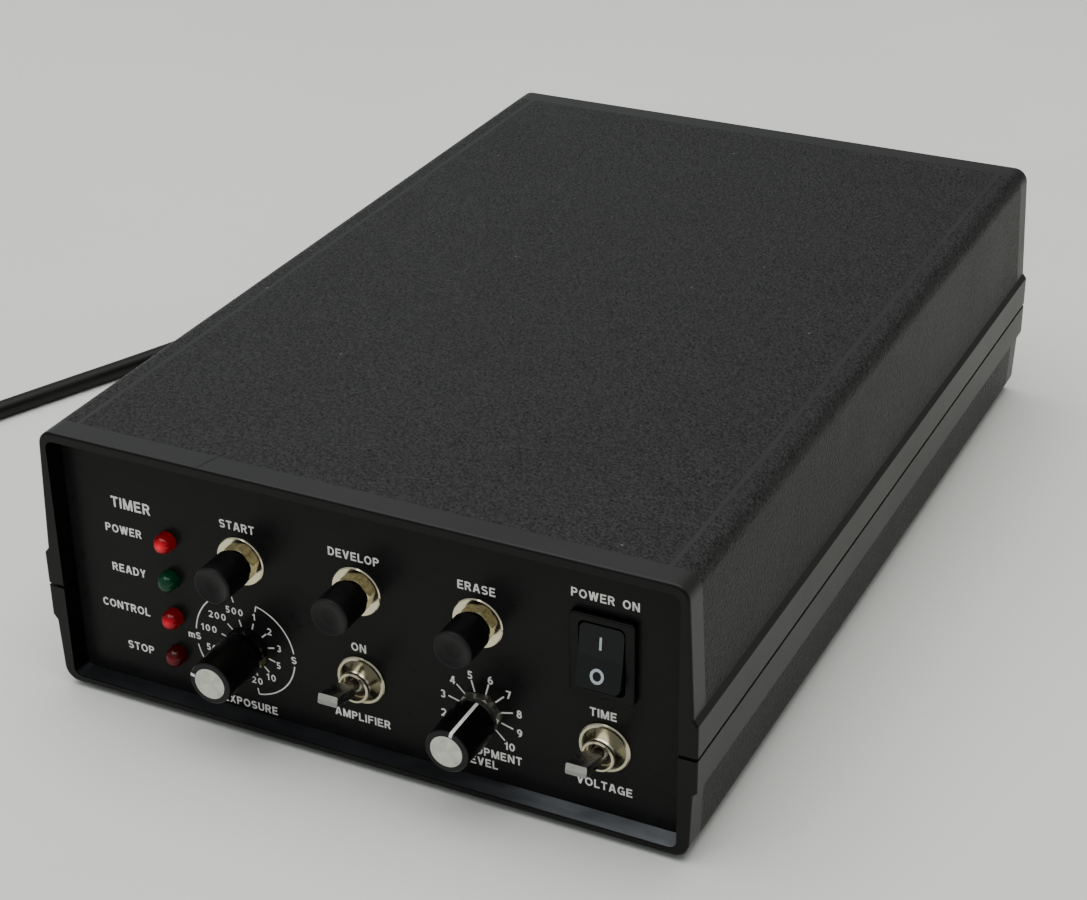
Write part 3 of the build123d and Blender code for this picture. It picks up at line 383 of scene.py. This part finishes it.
CAP_FACE = -7.1              # just behind the button caps' fronts
RING_FACE = -11.8            # just behind the knobs' fronts
TIP_FACE = -10.6             # just behind the thrown levers' tips
# Painted light: the button caps' fronts and the knobs' front rings get lighter colours, for the light they
# catch.
tinted_beyond(cap_black, "Y", CAP_FACE - HALF_DEPTH, (0.0065, 0.0065, 0.0068))
tinted_beyond(knob_black, "Y", RING_FACE - HALF_DEPTH, (0.0080, 0.0080, 0.0084))
tinted_beyond(lever_chrome, "Y", TIP_FACE - HALF_DEPTH, (0.27, 0.27, 0.265))
tinted_beyond(dull_steel, "X", 0.0, (0.030, 0.030, 0.028))


def spun_nut(shader):
    """Turned nut of either toggle: painted shade darkening the hollow flank, and reflections drawn out by
    turning.
    """
    axes = shader.axes()
    middle = (COLUMNS[1] + COLUMNS[3]) / 2
    outward = shader.math("SUBTRACT", axes["X"], middle * MM)
    right = shader.math("GREATER_THAN", outward, 0.0)
    centre = shader.math("MULTIPLY_ADD", right, 2 * (COLUMNS[3] - middle) * MM, (COLUMNS[1] - middle) * MM)
    aside = shader.math("SUBTRACT", outward, centre)
    above = shader.math("SUBTRACT", axes["Z"], LOWER_ROW * MM)
    # Painted shade: the hollow flank gets a darker colour.
    flank_shade = between(shader, shader.reach(aside, above), 4.0, 5.6)
    shader.set(Base_Color=shader.blend(flank_shade, shader.usual_colour(), rgba((0.20, 0.18, 0.11))))
    tangent = shader.add("ShaderNodeCombineXYZ")
    shader.feed(tangent.inputs["X"], above)
    shader.feed(tangent.inputs["Z"], shader.math("MULTIPLY", aside, -1.0))
    unit = shader.add("ShaderNodeVectorMath", operation="NORMALIZE")
    shader.feed(unit.inputs[0], tangent.outputs[0])
    shader.feed(shader.principled.inputs["Tangent"], unit.outputs[0])
    shader.principled.inputs["Anisotropic"].default_value = 0.6


def rubbed_corner(shader, x, z, colour):
    """A painted glint: a small bright spot on a corner of a nut."""
    axes = shader.axes()
    aside = shader.math("SUBTRACT", axes["X"], x * MM)
    above = shader.math("SUBTRACT", axes["Z"], z * MM)
    glint_spot = shader.math("LESS_THAN", shader.reach(aside, above), 1.1 * MM)
    shader.set(Base_Color=shader.blend(glint_spot, shader.usual_colour(), rgba(colour)))


spun_nut(turned_nickel)
# Painted glint on a corner of the exposure knob's nut.
rubbed_corner(dull_steel, -27.5, 20.6, (0.50, 0.48, 0.26))
for name in ("start", "develop", "erase"):
    paint(name + "_button", cap_black.material)
    paint(name + "_switch", phenolic.material)
    paint(name + "_spring", turned_nickel.material)
for name in ("amplifier", "mode"):
    paint(name + "_lever", lever_chrome.material)
    paint(name + "_switch", phenolic.material)
paint("button_nuts", nut_plate.material)
paint("button_washers", nickel.material)
paint("dress_nuts", turned_nickel.material)
paint("toggle_back_nuts", turned_nickel.material)
paint("rocker_housing", bezel_black.material)
paint("knob_nuts", dull_steel.material)
paint("power_rocker", rocker_black.material)
paint("exposure_selector", phenolic.material)
paint("level_potentiometer",
      surface("can_steel", (0.5, 0.5, 0.48), 0.35, 1.0, grain=0.3, depth=0.01).material)
brass = surface("shaft_brass", (0.72, 0.52, 0.22), 0.28, 1.0, grain=0.25, depth=0.006)
for name in ("exposure", "level"):
    paint(name + "_knob", knob_black.material)
    paint(name + "_shaft", brass.material)

# ---------------------------------------------------------------- inside and rear
steel = surface("screw_steel", (0.55, 0.54, 0.5), 0.3, 1.0, drift=0.15, drift_size=2.0, grain=0.3, depth=0.01)
rear_black = surface("rear_black", (0.012, 0.012, 0.012), 0.4, grain=0.4, depth=0.01)
rubber = surface("rubber_black", (0.016, 0.016, 0.016), 0.7, grain=0.4, depth=0.03, specular=0.3)
for node in ("case_screws", "inner_screws", "rear_screws"):
    paint(node, steel.material)
for node in ("fuse_holder", "fuse_cap", "lamp_outlet"):
    paint(node, rear_black.material)
paint("feet", rubber.material)
paint("fuse_link", surface("fuse_glass", (0.75, 0.77, 0.75), 0.12, 0.5, grain=0.5, depth=0.002).material)
paint("signal_socket", nickel.material)
paint("circuit_board",
      surface("board_laminate", (0.03, 0.12, 0.045), 0.35, drift=0.25, grain=0.6, depth=0.02).material)
chip_black = surface("chip_black", (0.018, 0.018, 0.018), 0.5, grain=0.3, depth=0.01)
paint("integrated_circuits", chip_black.material)
paint("regulator", chip_black.material)
paint("smoothing_capacitors",
      surface("can_sleeve", (0.02, 0.035, 0.12), 0.3, grain=0.5, depth=0.004).material)
paint("relay", surface("relay_case", (0.55, 0.53, 0.45), 0.35, grain=0.5, depth=0.006).material)
paint("heat_sink", surface("black_anodised", (0.02, 0.02, 0.021), 0.4, 0.6, grain=0.3, depth=0.01,
                           stretch=(1, 1, 0.1)).material)
paint("transformer_core", surface("lamination", (0.09, 0.09, 0.095), 0.5, 0.6, grain=0.5, depth=0.06,
                                  stretch=(0.05, 1, 0.05)).material)
paint("transformer_coil", surface("winding", (0.55, 0.38, 0.10), 0.35, grain=0.4, depth=0.02).material)
paint("transformer_bracket",
      surface("bracket_steel", (0.5, 0.5, 0.48), 0.32, 1.0, grain=0.4, depth=0.01).material)
wire_pvc = surface("wire_pvc", (0.14, 0.05, 0.03), 0.4, drift=0.5, drift_size=30.0, grain=0.5, depth=0.004)
paint("wiring", wire_pvc.material)


# ---------------------------------------------------------------- own meshes
def add_object(name, points, faces, material):
    """An object from points and faces, with one material."""
    mesh = bpy.data.meshes.new(name)
    mesh.from_pydata(points, [], faces)
    mesh.update()
    thing = bpy.data.objects.new(name, mesh)
    bpy.context.scene.collection.objects.link(thing)
    thing.data.materials.append(material)
    return thing


def new_mesh(name, points, faces, material, body):
    """A piece from points in the row frame, riding on a body."""
    piece = add_object(name, points, faces, material)
    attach(piece, body)


# Bold grotesque capitals and figures; strokes and gaps are in units of a capital's height.
CAPITAL = 2.3                # height in millimetres
STROKE = 0.185
LETTER_GAP = 0.16


def bar(left, low, right, high):
    """Upright or level stroke, by its corners."""
    return [[(left, low), (right, low), (right, high), (left, high)]]


def slant(x0, low, x1, high):
    """Sloping stroke with level ends, by the middles of its ends."""
    half = STROKE * 0.56
    return [[(x0 - half, low), (x0 + half, low), (x1 + half, high), (x1 - half, high)]]


def bow(x, z, wide, high, first=0, last=360):
    """Part of an oval ring; angles run anticlockwise from the right."""
    def on_oval(half_width, half_height, angle):
        return (x + half_width * math.cos(angle), z + half_height * math.sin(angle))

    steps = max(4, round((last - first) / 15))
    quads = []
    for i in range(steps):
        a = math.radians(first + (last - first) * i / steps)
        b = math.radians(first + (last - first) * (i + 1) / steps)
        quads.append([on_oval(wide, high, a), on_oval(wide, high, b),
                      on_oval(wide - STROKE, high - STROKE, b), on_oval(wide - STROKE, high - STROKE, a)])
    return quads


def alphabet():
    """Each letter's width and shapes."""
    stem = bar(0, 0, STROKE, 1)
    top = 1 - STROKE
    half_round = (1 + STROKE) / 4
    p_shape = (stem + bar(0, top, 0.40, 1) + bar(0, 0.40, 0.40, 0.40 + STROKE)
               + bow(0.40, 0.70, 0.28, 0.30, -90, 90))
    f_shape = stem + bar(0, top, 0.64, 1) + bar(0, 0.42, 0.58, 0.42 + STROKE)
    shapes = {
        "A": slant(0.10, 0, 0.36, 1) + slant(0.70, 0, 0.44, 1) + bar(0.18, 0.22, 0.62, 0.22 + STROKE),
        "C": bow(0.40, 0.5, 0.40, 0.5, 40, 320),
        "D": stem + bar(0, top, 0.34, 1) + bar(0, 0, 0.34, STROKE) + bow(0.34, 0.5, 0.40, 0.5, -90, 90),
        "E": f_shape + bar(0, 0, 0.66, STROKE),
        "F": f_shape,
        "G": bow(0.40, 0.5, 0.40, 0.5, 40, 300) + bar(0.42, 0.36, 0.80, 0.36 + STROKE)
        + bar(0.80 - STROKE, 0, 0.80, 0.4),
        "I": stem,
        "L": stem + bar(0, 0, 0.60, STROKE),
        "M": stem + bar(0.90 - STROKE, 0, 0.90, 1) + slant(0.45, 0, 0.12, 1) + slant(0.45, 0, 0.78, 1),
        "N": stem + bar(0.76 - STROKE, 0, 0.76, 1) + slant(0.65, 0, 0.11, 1),
        "O": bow(0.42, 0.5, 0.42, 0.5),
        "P": p_shape,
        "R": p_shape + slant(0.62, 0, 0.42, 0.42),
        "S": bow(0.35, 1 - half_round, 0.35, half_round, 25, 270)
        + bow(0.35, half_round, 0.35, half_round, -155, 90),
        "T": bar(0, top, 0.68, 1) + bar(0.34 - STROKE / 2, 0, 0.34 + STROKE / 2, 1),
        "U": bar(0, 0.35, STROKE, 1) + bar(0.72 - STROKE, 0.35, 0.72, 1)
        + bow(0.36, 0.36, 0.36, 0.36, 180, 360),
        "V": slant(0.38, 0, 0.10, 1) + slant(0.38, 0, 0.66, 1),
        "W": slant(0.30, 0, 0.10, 1) + slant(0.30, 0, 0.53, 1)
        + slant(0.76, 0, 0.53, 1) + slant(0.76, 0, 0.96, 1),
        "X": slant(0.10, 0, 0.64, 1) + slant(0.64, 0, 0.10, 1),
        "Y": slant(0.36, 0.4, 0.10, 1) + slant(0.36, 0.4, 0.62, 1)
        + bar(0.36 - STROKE / 2, 0, 0.36 + STROKE / 2, 0.5),
        "0": bow(0.34, 0.5, 0.34, 0.5),
        "1": bar(0.20, 0, 0.20 + STROKE, 1) + bar(0, 0.68, 0.3, 0.82),
        "2": bow(0.32, 0.70, 0.32, 0.30, -35, 165) + slant(0.14, 0.08, 0.52, 0.56)
        + bar(0.02, 0, 0.64, STROKE),
        "3": bow(0.29, 1 - half_round, 0.29, half_round, -90, 150)
        + bow(0.29, half_round, 0.30, half_round, -150, 90),
        "4": bar(0.36, 0, 0.36 + STROKE, 1) + bar(0, 0.2, 0.64, 0.2 + STROKE * 0.9)
        + slant(0.11, 0.25, 0.42, 1),
        "5": bar(0.07, top, 0.56, 1) + bar(0.07, 0.46, 0.07 + STROKE, 1)
        + bow(0.29, 0.32, 0.31, 0.32, -150, 125),
        "6": bow(0.31, 0.33, 0.31, 0.33) + bow(0.42, 0.42, 0.42, 0.58, 90, 180),
        "7": bar(0, top, 0.58, 1) + slant(0.22, 0, 0.48, 0.9),
        "8": bow(0.31, 0.73, 0.27, 0.27) + bow(0.31, 0.30, 0.31, 0.30),
        "9": bow(0.31, 0.67, 0.31, 0.33) + bow(0.20, 0.58, 0.42, 0.58, -90, 0),
        "m": bar(0, 0, STROKE, 0.72) + bow(0.27, 0.44, 0.27, 0.28, 0, 180) + bar(0.54 - STROKE, 0, 0.54, 0.44)
        + bow(0.63, 0.44, 0.27, 0.28, 0, 180) + bar(0.90 - STROKE, 0, 0.90, 0.44),
        " ": [],
    }
    widths = {letter: max((x for outline in outlines for x, z in outline), default=0.5)
              for letter, outlines in shapes.items()}
    return {letter: (widths[letter], outlines) for letter, outlines in shapes.items()}


LETTERS = alphabet()


PRINT_LIFT = 0.03
LAYER_STEP = 0.002
LAYERS = 7


class Print:
    """White print that collects flat shapes on the panel; x and z are in millimetres."""

    def __init__(self):
        self.points = []
        self.faces = []

    def polygon(self, outline, layer=0):
        """Flat shape; shapes that overlap lie on different layers, a few microns apart."""
        start = len(self.points)
        lift = PRINT_LIFT + LAYER_STEP * (layer % LAYERS)
        self.points += [at(x, PANEL_FACE - lift, z) for x, z in outline]
        self.faces.append(list(range(start, start + len(outline))))

    def stroke(self, x0, z0, x1, z1, width):
        """Straight line with square ends."""
        length = math.hypot(x1 - x0, z1 - z0)
        nx = -(z1 - z0) / length * width / 2
        nz = (x1 - x0) / length * width / 2
        self.polygon([(x0 + nx, z0 + nz), (x0 - nx, z0 - nz), (x1 - nx, z1 - nz), (x1 + nx, z1 + nz)])

    def ray(self, x, z, angle, inner, outer, width):
        """Tick on a dial; the angle runs clockwise from straight up."""
        s = math.sin(math.radians(angle))
        c = math.cos(math.radians(angle))
        self.stroke(x + inner * s, z + inner * c, x + outer * s, z + outer * c, width)

    def arc(self, x, z, radius, first, last, width):
        steps = 48
        for i in range(steps):
            a = math.radians(first + (last - first) * i / steps)
            b = math.radians(first + (last - first) * (i + 1) / steps)
            inner = radius - width / 2
            outer = radius + width / 2
            self.polygon([(x + inner * math.sin(a), z + inner * math.cos(a)),
                          (x + outer * math.sin(a), z + outer * math.cos(a)),
                          (x + outer * math.sin(b), z + outer * math.cos(b)),
                          (x + inner * math.sin(b), z + inner * math.cos(b))])

    def text(self, words, x, z, height=CAPITAL, align=0.5, gap=LETTER_GAP):
        """A word at (x, z), which is its middle, or its right end where align is 1."""
        letters = [LETTERS[c] for c in words]
        length = sum(width for width, shapes in letters) + gap * (len(letters) - 1)
        cursor = x - length * height * align
        for width, shapes in letters:
            for i, outline in enumerate(shapes):
                self.polygon([(cursor + px * height, z + (pz - 0.5) * height) for px, pz in outline], i)
            cursor += (width + gap) * height

    def finish(self, name, material, body):
        new_mesh(name, self.points, self.faces, material, body)


ink = surface("white_ink", (0.80, 0.80, 0.77), 0.5, drift=0.12, drift_size=1.5, grain=0.3, depth=0.004)

PRINT_SHIFT = -0.4           # the print sits a little left of the holes
LAMP_WORDS_RIGHT = -60.95
LAMP_WORDS_TOP = 47.3
LAMP_WORDS_PITCH = 11.17
LEVEL_FIGURE = 2.2           # heights of the figures and of the units
EXPOSURE_FIGURE = 1.95
UNIT_LETTER = 2.05
TICK_WIDTH = 0.40
ARC_WIDTH = 0.34
DETENT = 30                  # degrees between the dials' marks

# Word, column of controls, height, and how far the word is off its column.
CONTROL_WORDS = [
    ("START", 0, 56.6, 0.0), ("DEVELOP", 1, 56.55, 0.0), ("ERASE", 2, 56.45, 0.2),
    ("POWER ON", 3, 62.05, 0.35), ("TIME", 3, 31.35, -0.1), ("VOLTAGE", 3, 11.5, 0.2),
    ("ON", 1, 31.45, 0.0), ("AMPLIFIER", 1, 11.4, 0.0), ("EXPOSURE", 0, 5.9, -0.45),
    ("DEVELOPMENT", 2, 11.6, -0.1), ("LEVEL", 2, 8.5, 0.0),
]
# Figures of the exposure dial, each with its own angle and distance from the shaft: first the thousandths,
# anticlockwise from the top, then the seconds, clockwise from the top.
THOUSANDTHS = [
    ("500", -18.5, 10.25), ("200", -50, 10.95), ("100", -76.5, 11.5),
    ("50", -105, 11.2), ("20", -135, 10.3), ("10", -152, 8.6),
]
SECONDS = [
    ("1", 13.4, 9.8), ("2", 45, 9.1), ("3", 76, 9.1),
    ("5", 108.5, 8.8), ("10", 139.5, 9.15), ("20", 169, 9.2),
]


def print_words(legends):
    """Names of the controls and lamps, and the device's name at the top left."""
    for words, column, z, aside in CONTROL_WORDS:
        legends.text(words, COLUMNS[column] + PRINT_SHIFT + aside, z)
    for i, words in enumerate(("POWER", "READY", "CONTROL", "STOP")):
        legends.text(words, LAMP_WORDS_RIGHT, LAMP_WORDS_TOP - LAMP_WORDS_PITCH * i, align=1.0)
    legends.text("TIMER", -57.6, 55.0, 3.0, align=1.0)


def print_level_dial(legends, x):
    """Ten numbered ticks round the development level control."""
    radius = 10.3
    for number in range(1, 11):
        angle = DETENT * (number - 1) - 135
        s = math.sin(math.radians(angle))
        c = math.cos(math.radians(angle))
        legends.ray(x, LOWER_ROW, angle, 5.5, 8.7, TICK_WIDTH)
        legends.text(str(number), x + 0.08 + radius * s, LOWER_ROW - 0.28 + radius * c, LEVEL_FIGURE)


def print_exposure_dial(legends, x):
    """Twelve numbered ticks, with brackets round the thousandths and the seconds."""
    for figures, way in ((THOUSANDTHS, -1), (SECONDS, 1)):
        for i, (words, angle, radius) in enumerate(figures):
            s = math.sin(math.radians(angle))
            c = math.cos(math.radians(angle))
            legends.ray(x, LOWER_ROW, way * (DETENT / 2 + DETENT * i), 5.9, 7.8, TICK_WIDTH)
            legends.text(words, x + radius * s, LOWER_ROW + radius * c, EXPOSURE_FIGURE, gap=0.28)
    for radius, first, last in ((13.1, 14, 82), (13.1, 98, 171), (15.0, -84, -15), (15.0, -152, -101)):
        legends.arc(x, LOWER_ROW, radius, first, last, ARC_WIDTH)
    for angle, inner, outer in ((14, 11.4, 13.2), (171, 11.4, 13.2), (-15, 12.6, 15.1), (-152, 12.6, 15.1)):
        legends.ray(x, LOWER_ROW, angle, inner, outer, ARC_WIDTH)
    legends.text("S", x + 12.9, LOWER_ROW, UNIT_LETTER)
    legends.text("mS", x - 15.6, LOWER_ROW - 0.5, UNIT_LETTER)


panel_print = Print()
print_words(panel_print)
print_level_dial(panel_print, COLUMNS[2])
print_exposure_dial(panel_print, COLUMNS[0])
panel_print.finish("panel_print", ink.material, "case")


# ---------------------------------------------------------------- knobs' pale discs and lines
DISC_RADIUS = 4.1
DISC_DISH = 0.02             # how much the middle lies behind the edge
DISC_THICKNESS = 1.8
DISC_FRONT = KNOB_FRONT - 0.08


def disc_material(name):
    """Turned aluminium, with a painted sheen: a fan of lighter and darker sectors."""
    shader = Shader(name)
    rings_pattern = shader.add("ShaderNodeTexWave", wave_type="RINGS", rings_direction="Y")
    rings_pattern.inputs["Scale"].default_value = 900.0
    rings_pattern.inputs["Distortion"].default_value = 0.6
    shader.feed(rings_pattern.inputs["Vector"], shader.place)
    axes = shader.axes()
    # Painted sheen: the colour runs lighter and darker in sectors round the middle.
    sheen_sector = shader.math("MULTIPLY", shader.math("ARCTAN2", axes["X"], axes["Z"]), 5.0)
    sheen_fan = shader.math("MULTIPLY_ADD", shader.math("SINE", sheen_sector), 0.15, 0.5)
    broad = shader.math("MULTIPLY_ADD", shader.noise(2.0, 3.0), 0.6, shader.math("MULTIPLY", sheen_fan, 0.4))
    tint = shader.spread(broad, 0, 1)
    shader.set(Base_Color=shader.blend(tint, rgba((0.42, 0.43, 0.38)), rgba((0.64, 0.65, 0.60))))
    shader.set(Roughness=shader.spread(broad, 0.30, 0.40))
    shader.principled.inputs["Metallic"].default_value = 1.0
    shader.principled.inputs["Anisotropic"].default_value = 0.75
    tangent = shader.add("ShaderNodeTangent", direction_type="RADIAL", axis="Y")
    shader.feed(shader.principled.inputs["Tangent"], tangent.outputs["Tangent"])
    shader.relief(rings_pattern.outputs["Fac"], 0.002)
    return shader.material


def spun_disc(name, x, body):
    """Slightly dished disc in a knob's front, made round its own centre."""
    rings = 10
    sides = 64
    points = [(0.0, DISC_DISH * MM, 0.0)]
    for r in range(1, rings + 1):
        reach = DISC_RADIUS * MM * r / rings
        for i in range(sides):
            a = 2 * math.pi * i / sides
            points.append((reach * math.sin(a), DISC_DISH * MM * (1 - r / rings), reach * math.cos(a)))
    for i in range(sides):
        a = 2 * math.pi * i / sides
        points.append((DISC_RADIUS * MM * math.sin(a), DISC_THICKNESS * MM, DISC_RADIUS * MM * math.cos(a)))
    faces = [(0, 1 + i, 1 + (i + 1) % sides) for i in range(sides)]
    for r in range(rings):
        a = 1 + r * sides
        for i in range(sides):
            j = (i + 1) % sides
            faces.append((a + i, a + sides + i, a + sides + j, a + j))
    piece = add_object(name, points, faces, disc_material(name + "_aluminium"))
    piece.location = at(x, DISC_FRONT, LOWER_ROW)
    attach(piece, body)
    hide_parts(body + "_cap")


def pointer_line(name, x, angle, body):
    """White line along a knob's side, from its skirt over its front edge."""
    half_width = 0.40
    lift = 0.03
    skirt = (0.6, 5.9)
    middle = (-5.5, 5.73)
    shoulder = (-11.75, 5.55)
    stations = [skirt, middle, shoulder, (KNOB_FRONT, 5.3), (KNOB_FRONT, 4.25)]
    a = math.radians(angle)
    across = (math.cos(a), -math.sin(a))
    out = (math.sin(a), math.cos(a))
    points = []
    for y, radius in stations:
        y_out = y - lift if y == KNOB_FRONT else y
        reach = radius + lift
        for side in (-half_width, half_width):
            points.append(at(x + out[0] * reach + across[0] * side, y_out,
                             LOWER_ROW + out[1] * reach + across[1] * side))
    faces = [(2 * i, 2 * i + 1, 2 * i + 3, 2 * i + 2) for i in range(len(stations) - 1)]
    new_mesh(name, points, faces, ink.material, body)


spun_disc("exposure_disc", COLUMNS[0], "exposure_knob")
spun_disc("level_disc", COLUMNS[2], "level_knob")
pointer_line("exposure_pointer", COLUMNS[0], -75, "exposure_knob")
pointer_line("level_pointer", COLUMNS[2], 15, "level_knob")


# ---------------------------------------------------------------- marks on the rocker
rocker_ink = surface("rocker_ink", (0.42, 0.48, 0.52), 0.5, drift=0.12, drift_size=1.5, grain=0.3,
                     depth=0.004)


def rocker_marks():
    """Bar and ring printed on the two halves of the paddle, which is tipped by 10 degrees."""
    pivot_y = 5.6
    tilt = math.radians(-10)
    lift = 0.04
    crease_y = 2.3
    rise = 0.5 / 9.0         # each half comes forward towards its end
    ring_low = -4.45

    def on_paddle(x, h):
        """Point on the paddle's face at height h from its middle."""
        y = crease_y - rise * abs(h) - lift - pivot_y
        return at(COLUMNS[3] + x, pivot_y + y * math.cos(tilt) - h * math.sin(tilt),
                  UPPER_ROW + y * math.sin(tilt) + h * math.cos(tilt))

    points = []
    faces = []
    for x, h in ((-0.42, 1.95), (0.14, 1.95), (0.14, 5.15), (-0.42, 5.15)):
        points.append(on_paddle(x, h))
    faces.append((0, 1, 2, 3))
    steps = 32
    for i in range(steps):
        a = 2 * math.pi * i / steps
        for r in (1.05, 1.7):
            points.append(on_paddle(r * math.cos(a) - 0.4, ring_low + r * 1.1 * math.sin(a)))
    for i in range(steps):
        j = (i + 1) % steps
        faces.append((4 + 2 * i, 5 + 2 * i, 5 + 2 * j, 4 + 2 * j))
    new_mesh("rocker_marks", points, faces, rocker_ink.material, "power_rocker")


rocker_marks()


# ---------------------------------------------------------------- mains lead
CORD_DIAMETER = 5.4
CORD_FLOOR = 2.75
COIL_PITCH = 5.5
COIL_TURNS = 5.25
OUTER_TURN = 37.0
LEAD = [
    (-25.0, 286.0, 18.0), (-25.0, 316.0, 17.0), (-29.0, 350.0, CORD_FLOOR), (-48.0, 384.0, CORD_FLOOR),
    (-86.0, 382.0, CORD_FLOOR), (-109.0, 330.0, CORD_FLOOR), (-135.0, 254.0, CORD_FLOOR),
    (-163.0, 177.0, CORD_FLOOR), (-194.0, 107.0, CORD_FLOOR), (-210.0, 68.0, CORD_FLOOR),
]


def ramp(value, start, end):
    """0 before start, 1 after end, straight between."""
    return min(1.0, max(0.0, (value - start) / (end - start)))


def coil_route(centre, heading):
    """About five turns in two layers, inwards on the table and outwards on top, as points in millimetres."""
    first = math.atan2(heading[0], -heading[1])
    route = []
    per_turn = 24
    for i in range(1, int(COIL_TURNS * per_turn) + 1):
        t = i / per_turn
        inwards = ramp(t, 0.75, 1.0) + ramp(t, 1.75, 2.0)
        outwards = ramp(t, 3.25, 3.5) + ramp(t, 4.25, 4.5)
        radius = OUTER_TURN + COIL_PITCH * (outwards - inwards)
        height = CORD_FLOOR + COIL_PITCH * ramp(t, 2.5, 2.75)
        angle = first - 2 * math.pi * t
        route.append((centre[0] + radius * math.cos(angle), centre[1] + radius * math.sin(angle), height))
    return route


def lead_route():
    """The stretch on the table, the coil, and the tail that leaves it for the plug."""
    last, before = LEAD[-1], LEAD[-2]
    run = math.hypot(last[0] - before[0], last[1] - before[1])
    heading = ((last[0] - before[0]) / run, (last[1] - before[1]) / run)
    centre = (last[0] + heading[1] * OUTER_TURN, last[1] - heading[0] * OUTER_TURN)
    route = LEAD + coil_route(centre, heading)
    leaving = (heading[1], -heading[0])
    tail_start = (centre[0] + heading[0] * OUTER_TURN, centre[1] + heading[1] * OUTER_TURN)
    for distance, height in ((9.0, 8.15), (24.0, 6.2), (44.0, 6.9)):
        route.append((tail_start[0] + leaving[0] * distance, tail_start[1] + leaving[1] * distance, height))
    return route


def mains_lead():
    """The lead as one round curve; its bush, plug and stand-ins have the same sheath."""
    route = lead_route()
    curve = bpy.data.curves.new("mains_cable", type="CURVE")
    curve.dimensions = "3D"
    curve.bevel_depth = CORD_DIAMETER / 2 * MM
    curve.bevel_resolution = 6
    curve.use_fill_caps = True
    curve.resolution_u = 8
    spline = curve.splines.new("NURBS")
    spline.points.add(len(route) - 1)
    for point, (x, y, z) in zip(spline.points, route):
        point.co = (*at(x, y, z), 1.0)
    spline.order_u = 3
    spline.use_endpoint_u = True
    cable = bpy.data.objects.new("mains_cable", curve)
    bpy.context.scene.collection.objects.link(cable)
    sheath = surface("cord_pvc", (0.0035, 0.0035, 0.0033), 0.45, drift=0.2, drift_size=20.0, grain=0.6,
                     depth=0.01, specular=0.22)
    cable.data.materials.append(sheath.material)
    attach(cable, "case")
    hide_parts("mains_lead", "mains_lead_coil")
    for node in ("strain_relief", "mains_plug", "mains_lead", "mains_lead_coil"):
        paint(node, sheath.material)


mains_lead()


# ---------------------------------------------------------------- bench and light
def bench():
    """Pale plain table top."""
    shader = Shader("bench_paint")
    cloud = shader.noise(260.0, 3.0)
    tint = shader.spread(cloud, 0, 1)
    shader.set(Base_Color=shader.blend(tint, rgba((0.680, 0.695, 0.650)), rgba((0.720, 0.735, 0.690))))
    shader.set(Roughness=shader.spread(cloud, 0.5, 0.6))
    shader.principled.inputs["Specular IOR Level"].default_value = 0.3
    shader.relief(shader.noise(1.5, 2.0), 0.01)
    half = 6.0
    corners = [(-half, -half, 0), (half, -half, 0), (half, half, 0), (-half, half, 0)]
    add_object("bench", corners, [(0, 1, 2, 3)], shader.material)


def softbox(name, place, target, width, height, power, colour):
    """Rectangular lamp aimed at a point."""
    data = bpy.data.lights.new(name, type="AREA")
    data.shape = "RECTANGLE"
    data.size = width
    data.size_y = height
    data.energy = power
    data.color = colour
    lamp = bpy.data.objects.new(name, data)
    bpy.context.scene.collection.objects.link(lamp)
    lamp.location = place
    lamp.rotation_euler = (Vector(target) - Vector(place)).to_track_quat("-Z", "Y").to_euler()


def room_light():
    """Even room light with one dark quarter at the rear right, low down."""
    dark_quarter = Vector((0.48, 0.79, 0.28)).normalized()
    world = bpy.data.worlds.new("room")
    bpy.context.scene.world = world
    world.use_nodes = True
    tree = world.node_tree
    background = tree.nodes["Background"]
    background.inputs["Color"].default_value = (0.93, 0.97, 1.0, 1.0)
    directions = tree.nodes.new("ShaderNodeTexCoord")
    towards = tree.nodes.new("ShaderNodeVectorMath")
    towards.operation = "DOT_PRODUCT"
    towards.inputs[1].default_value = dark_quarter
    tree.links.new(directions.outputs["Generated"], towards.inputs[0])
    strength = tree.nodes.new("ShaderNodeMapRange")
    strength.interpolation_type = "SMOOTHSTEP"
    strength.inputs["From Min"].default_value = 0.45
    strength.inputs["From Max"].default_value = 0.92
    strength.inputs["To Min"].default_value = 0.50
    strength.inputs["To Max"].default_value = 0.03
    tree.links.new(towards.outputs["Value"], strength.inputs["Value"])
    tree.links.new(strength.outputs["Result"], background.inputs["Strength"])


bench()
room_light()
softbox("ceiling", (-0.1, -0.05, 1.8), (0, 0, 0), 2.2, 2.2, 50.0, (1.0, 0.995, 0.965))
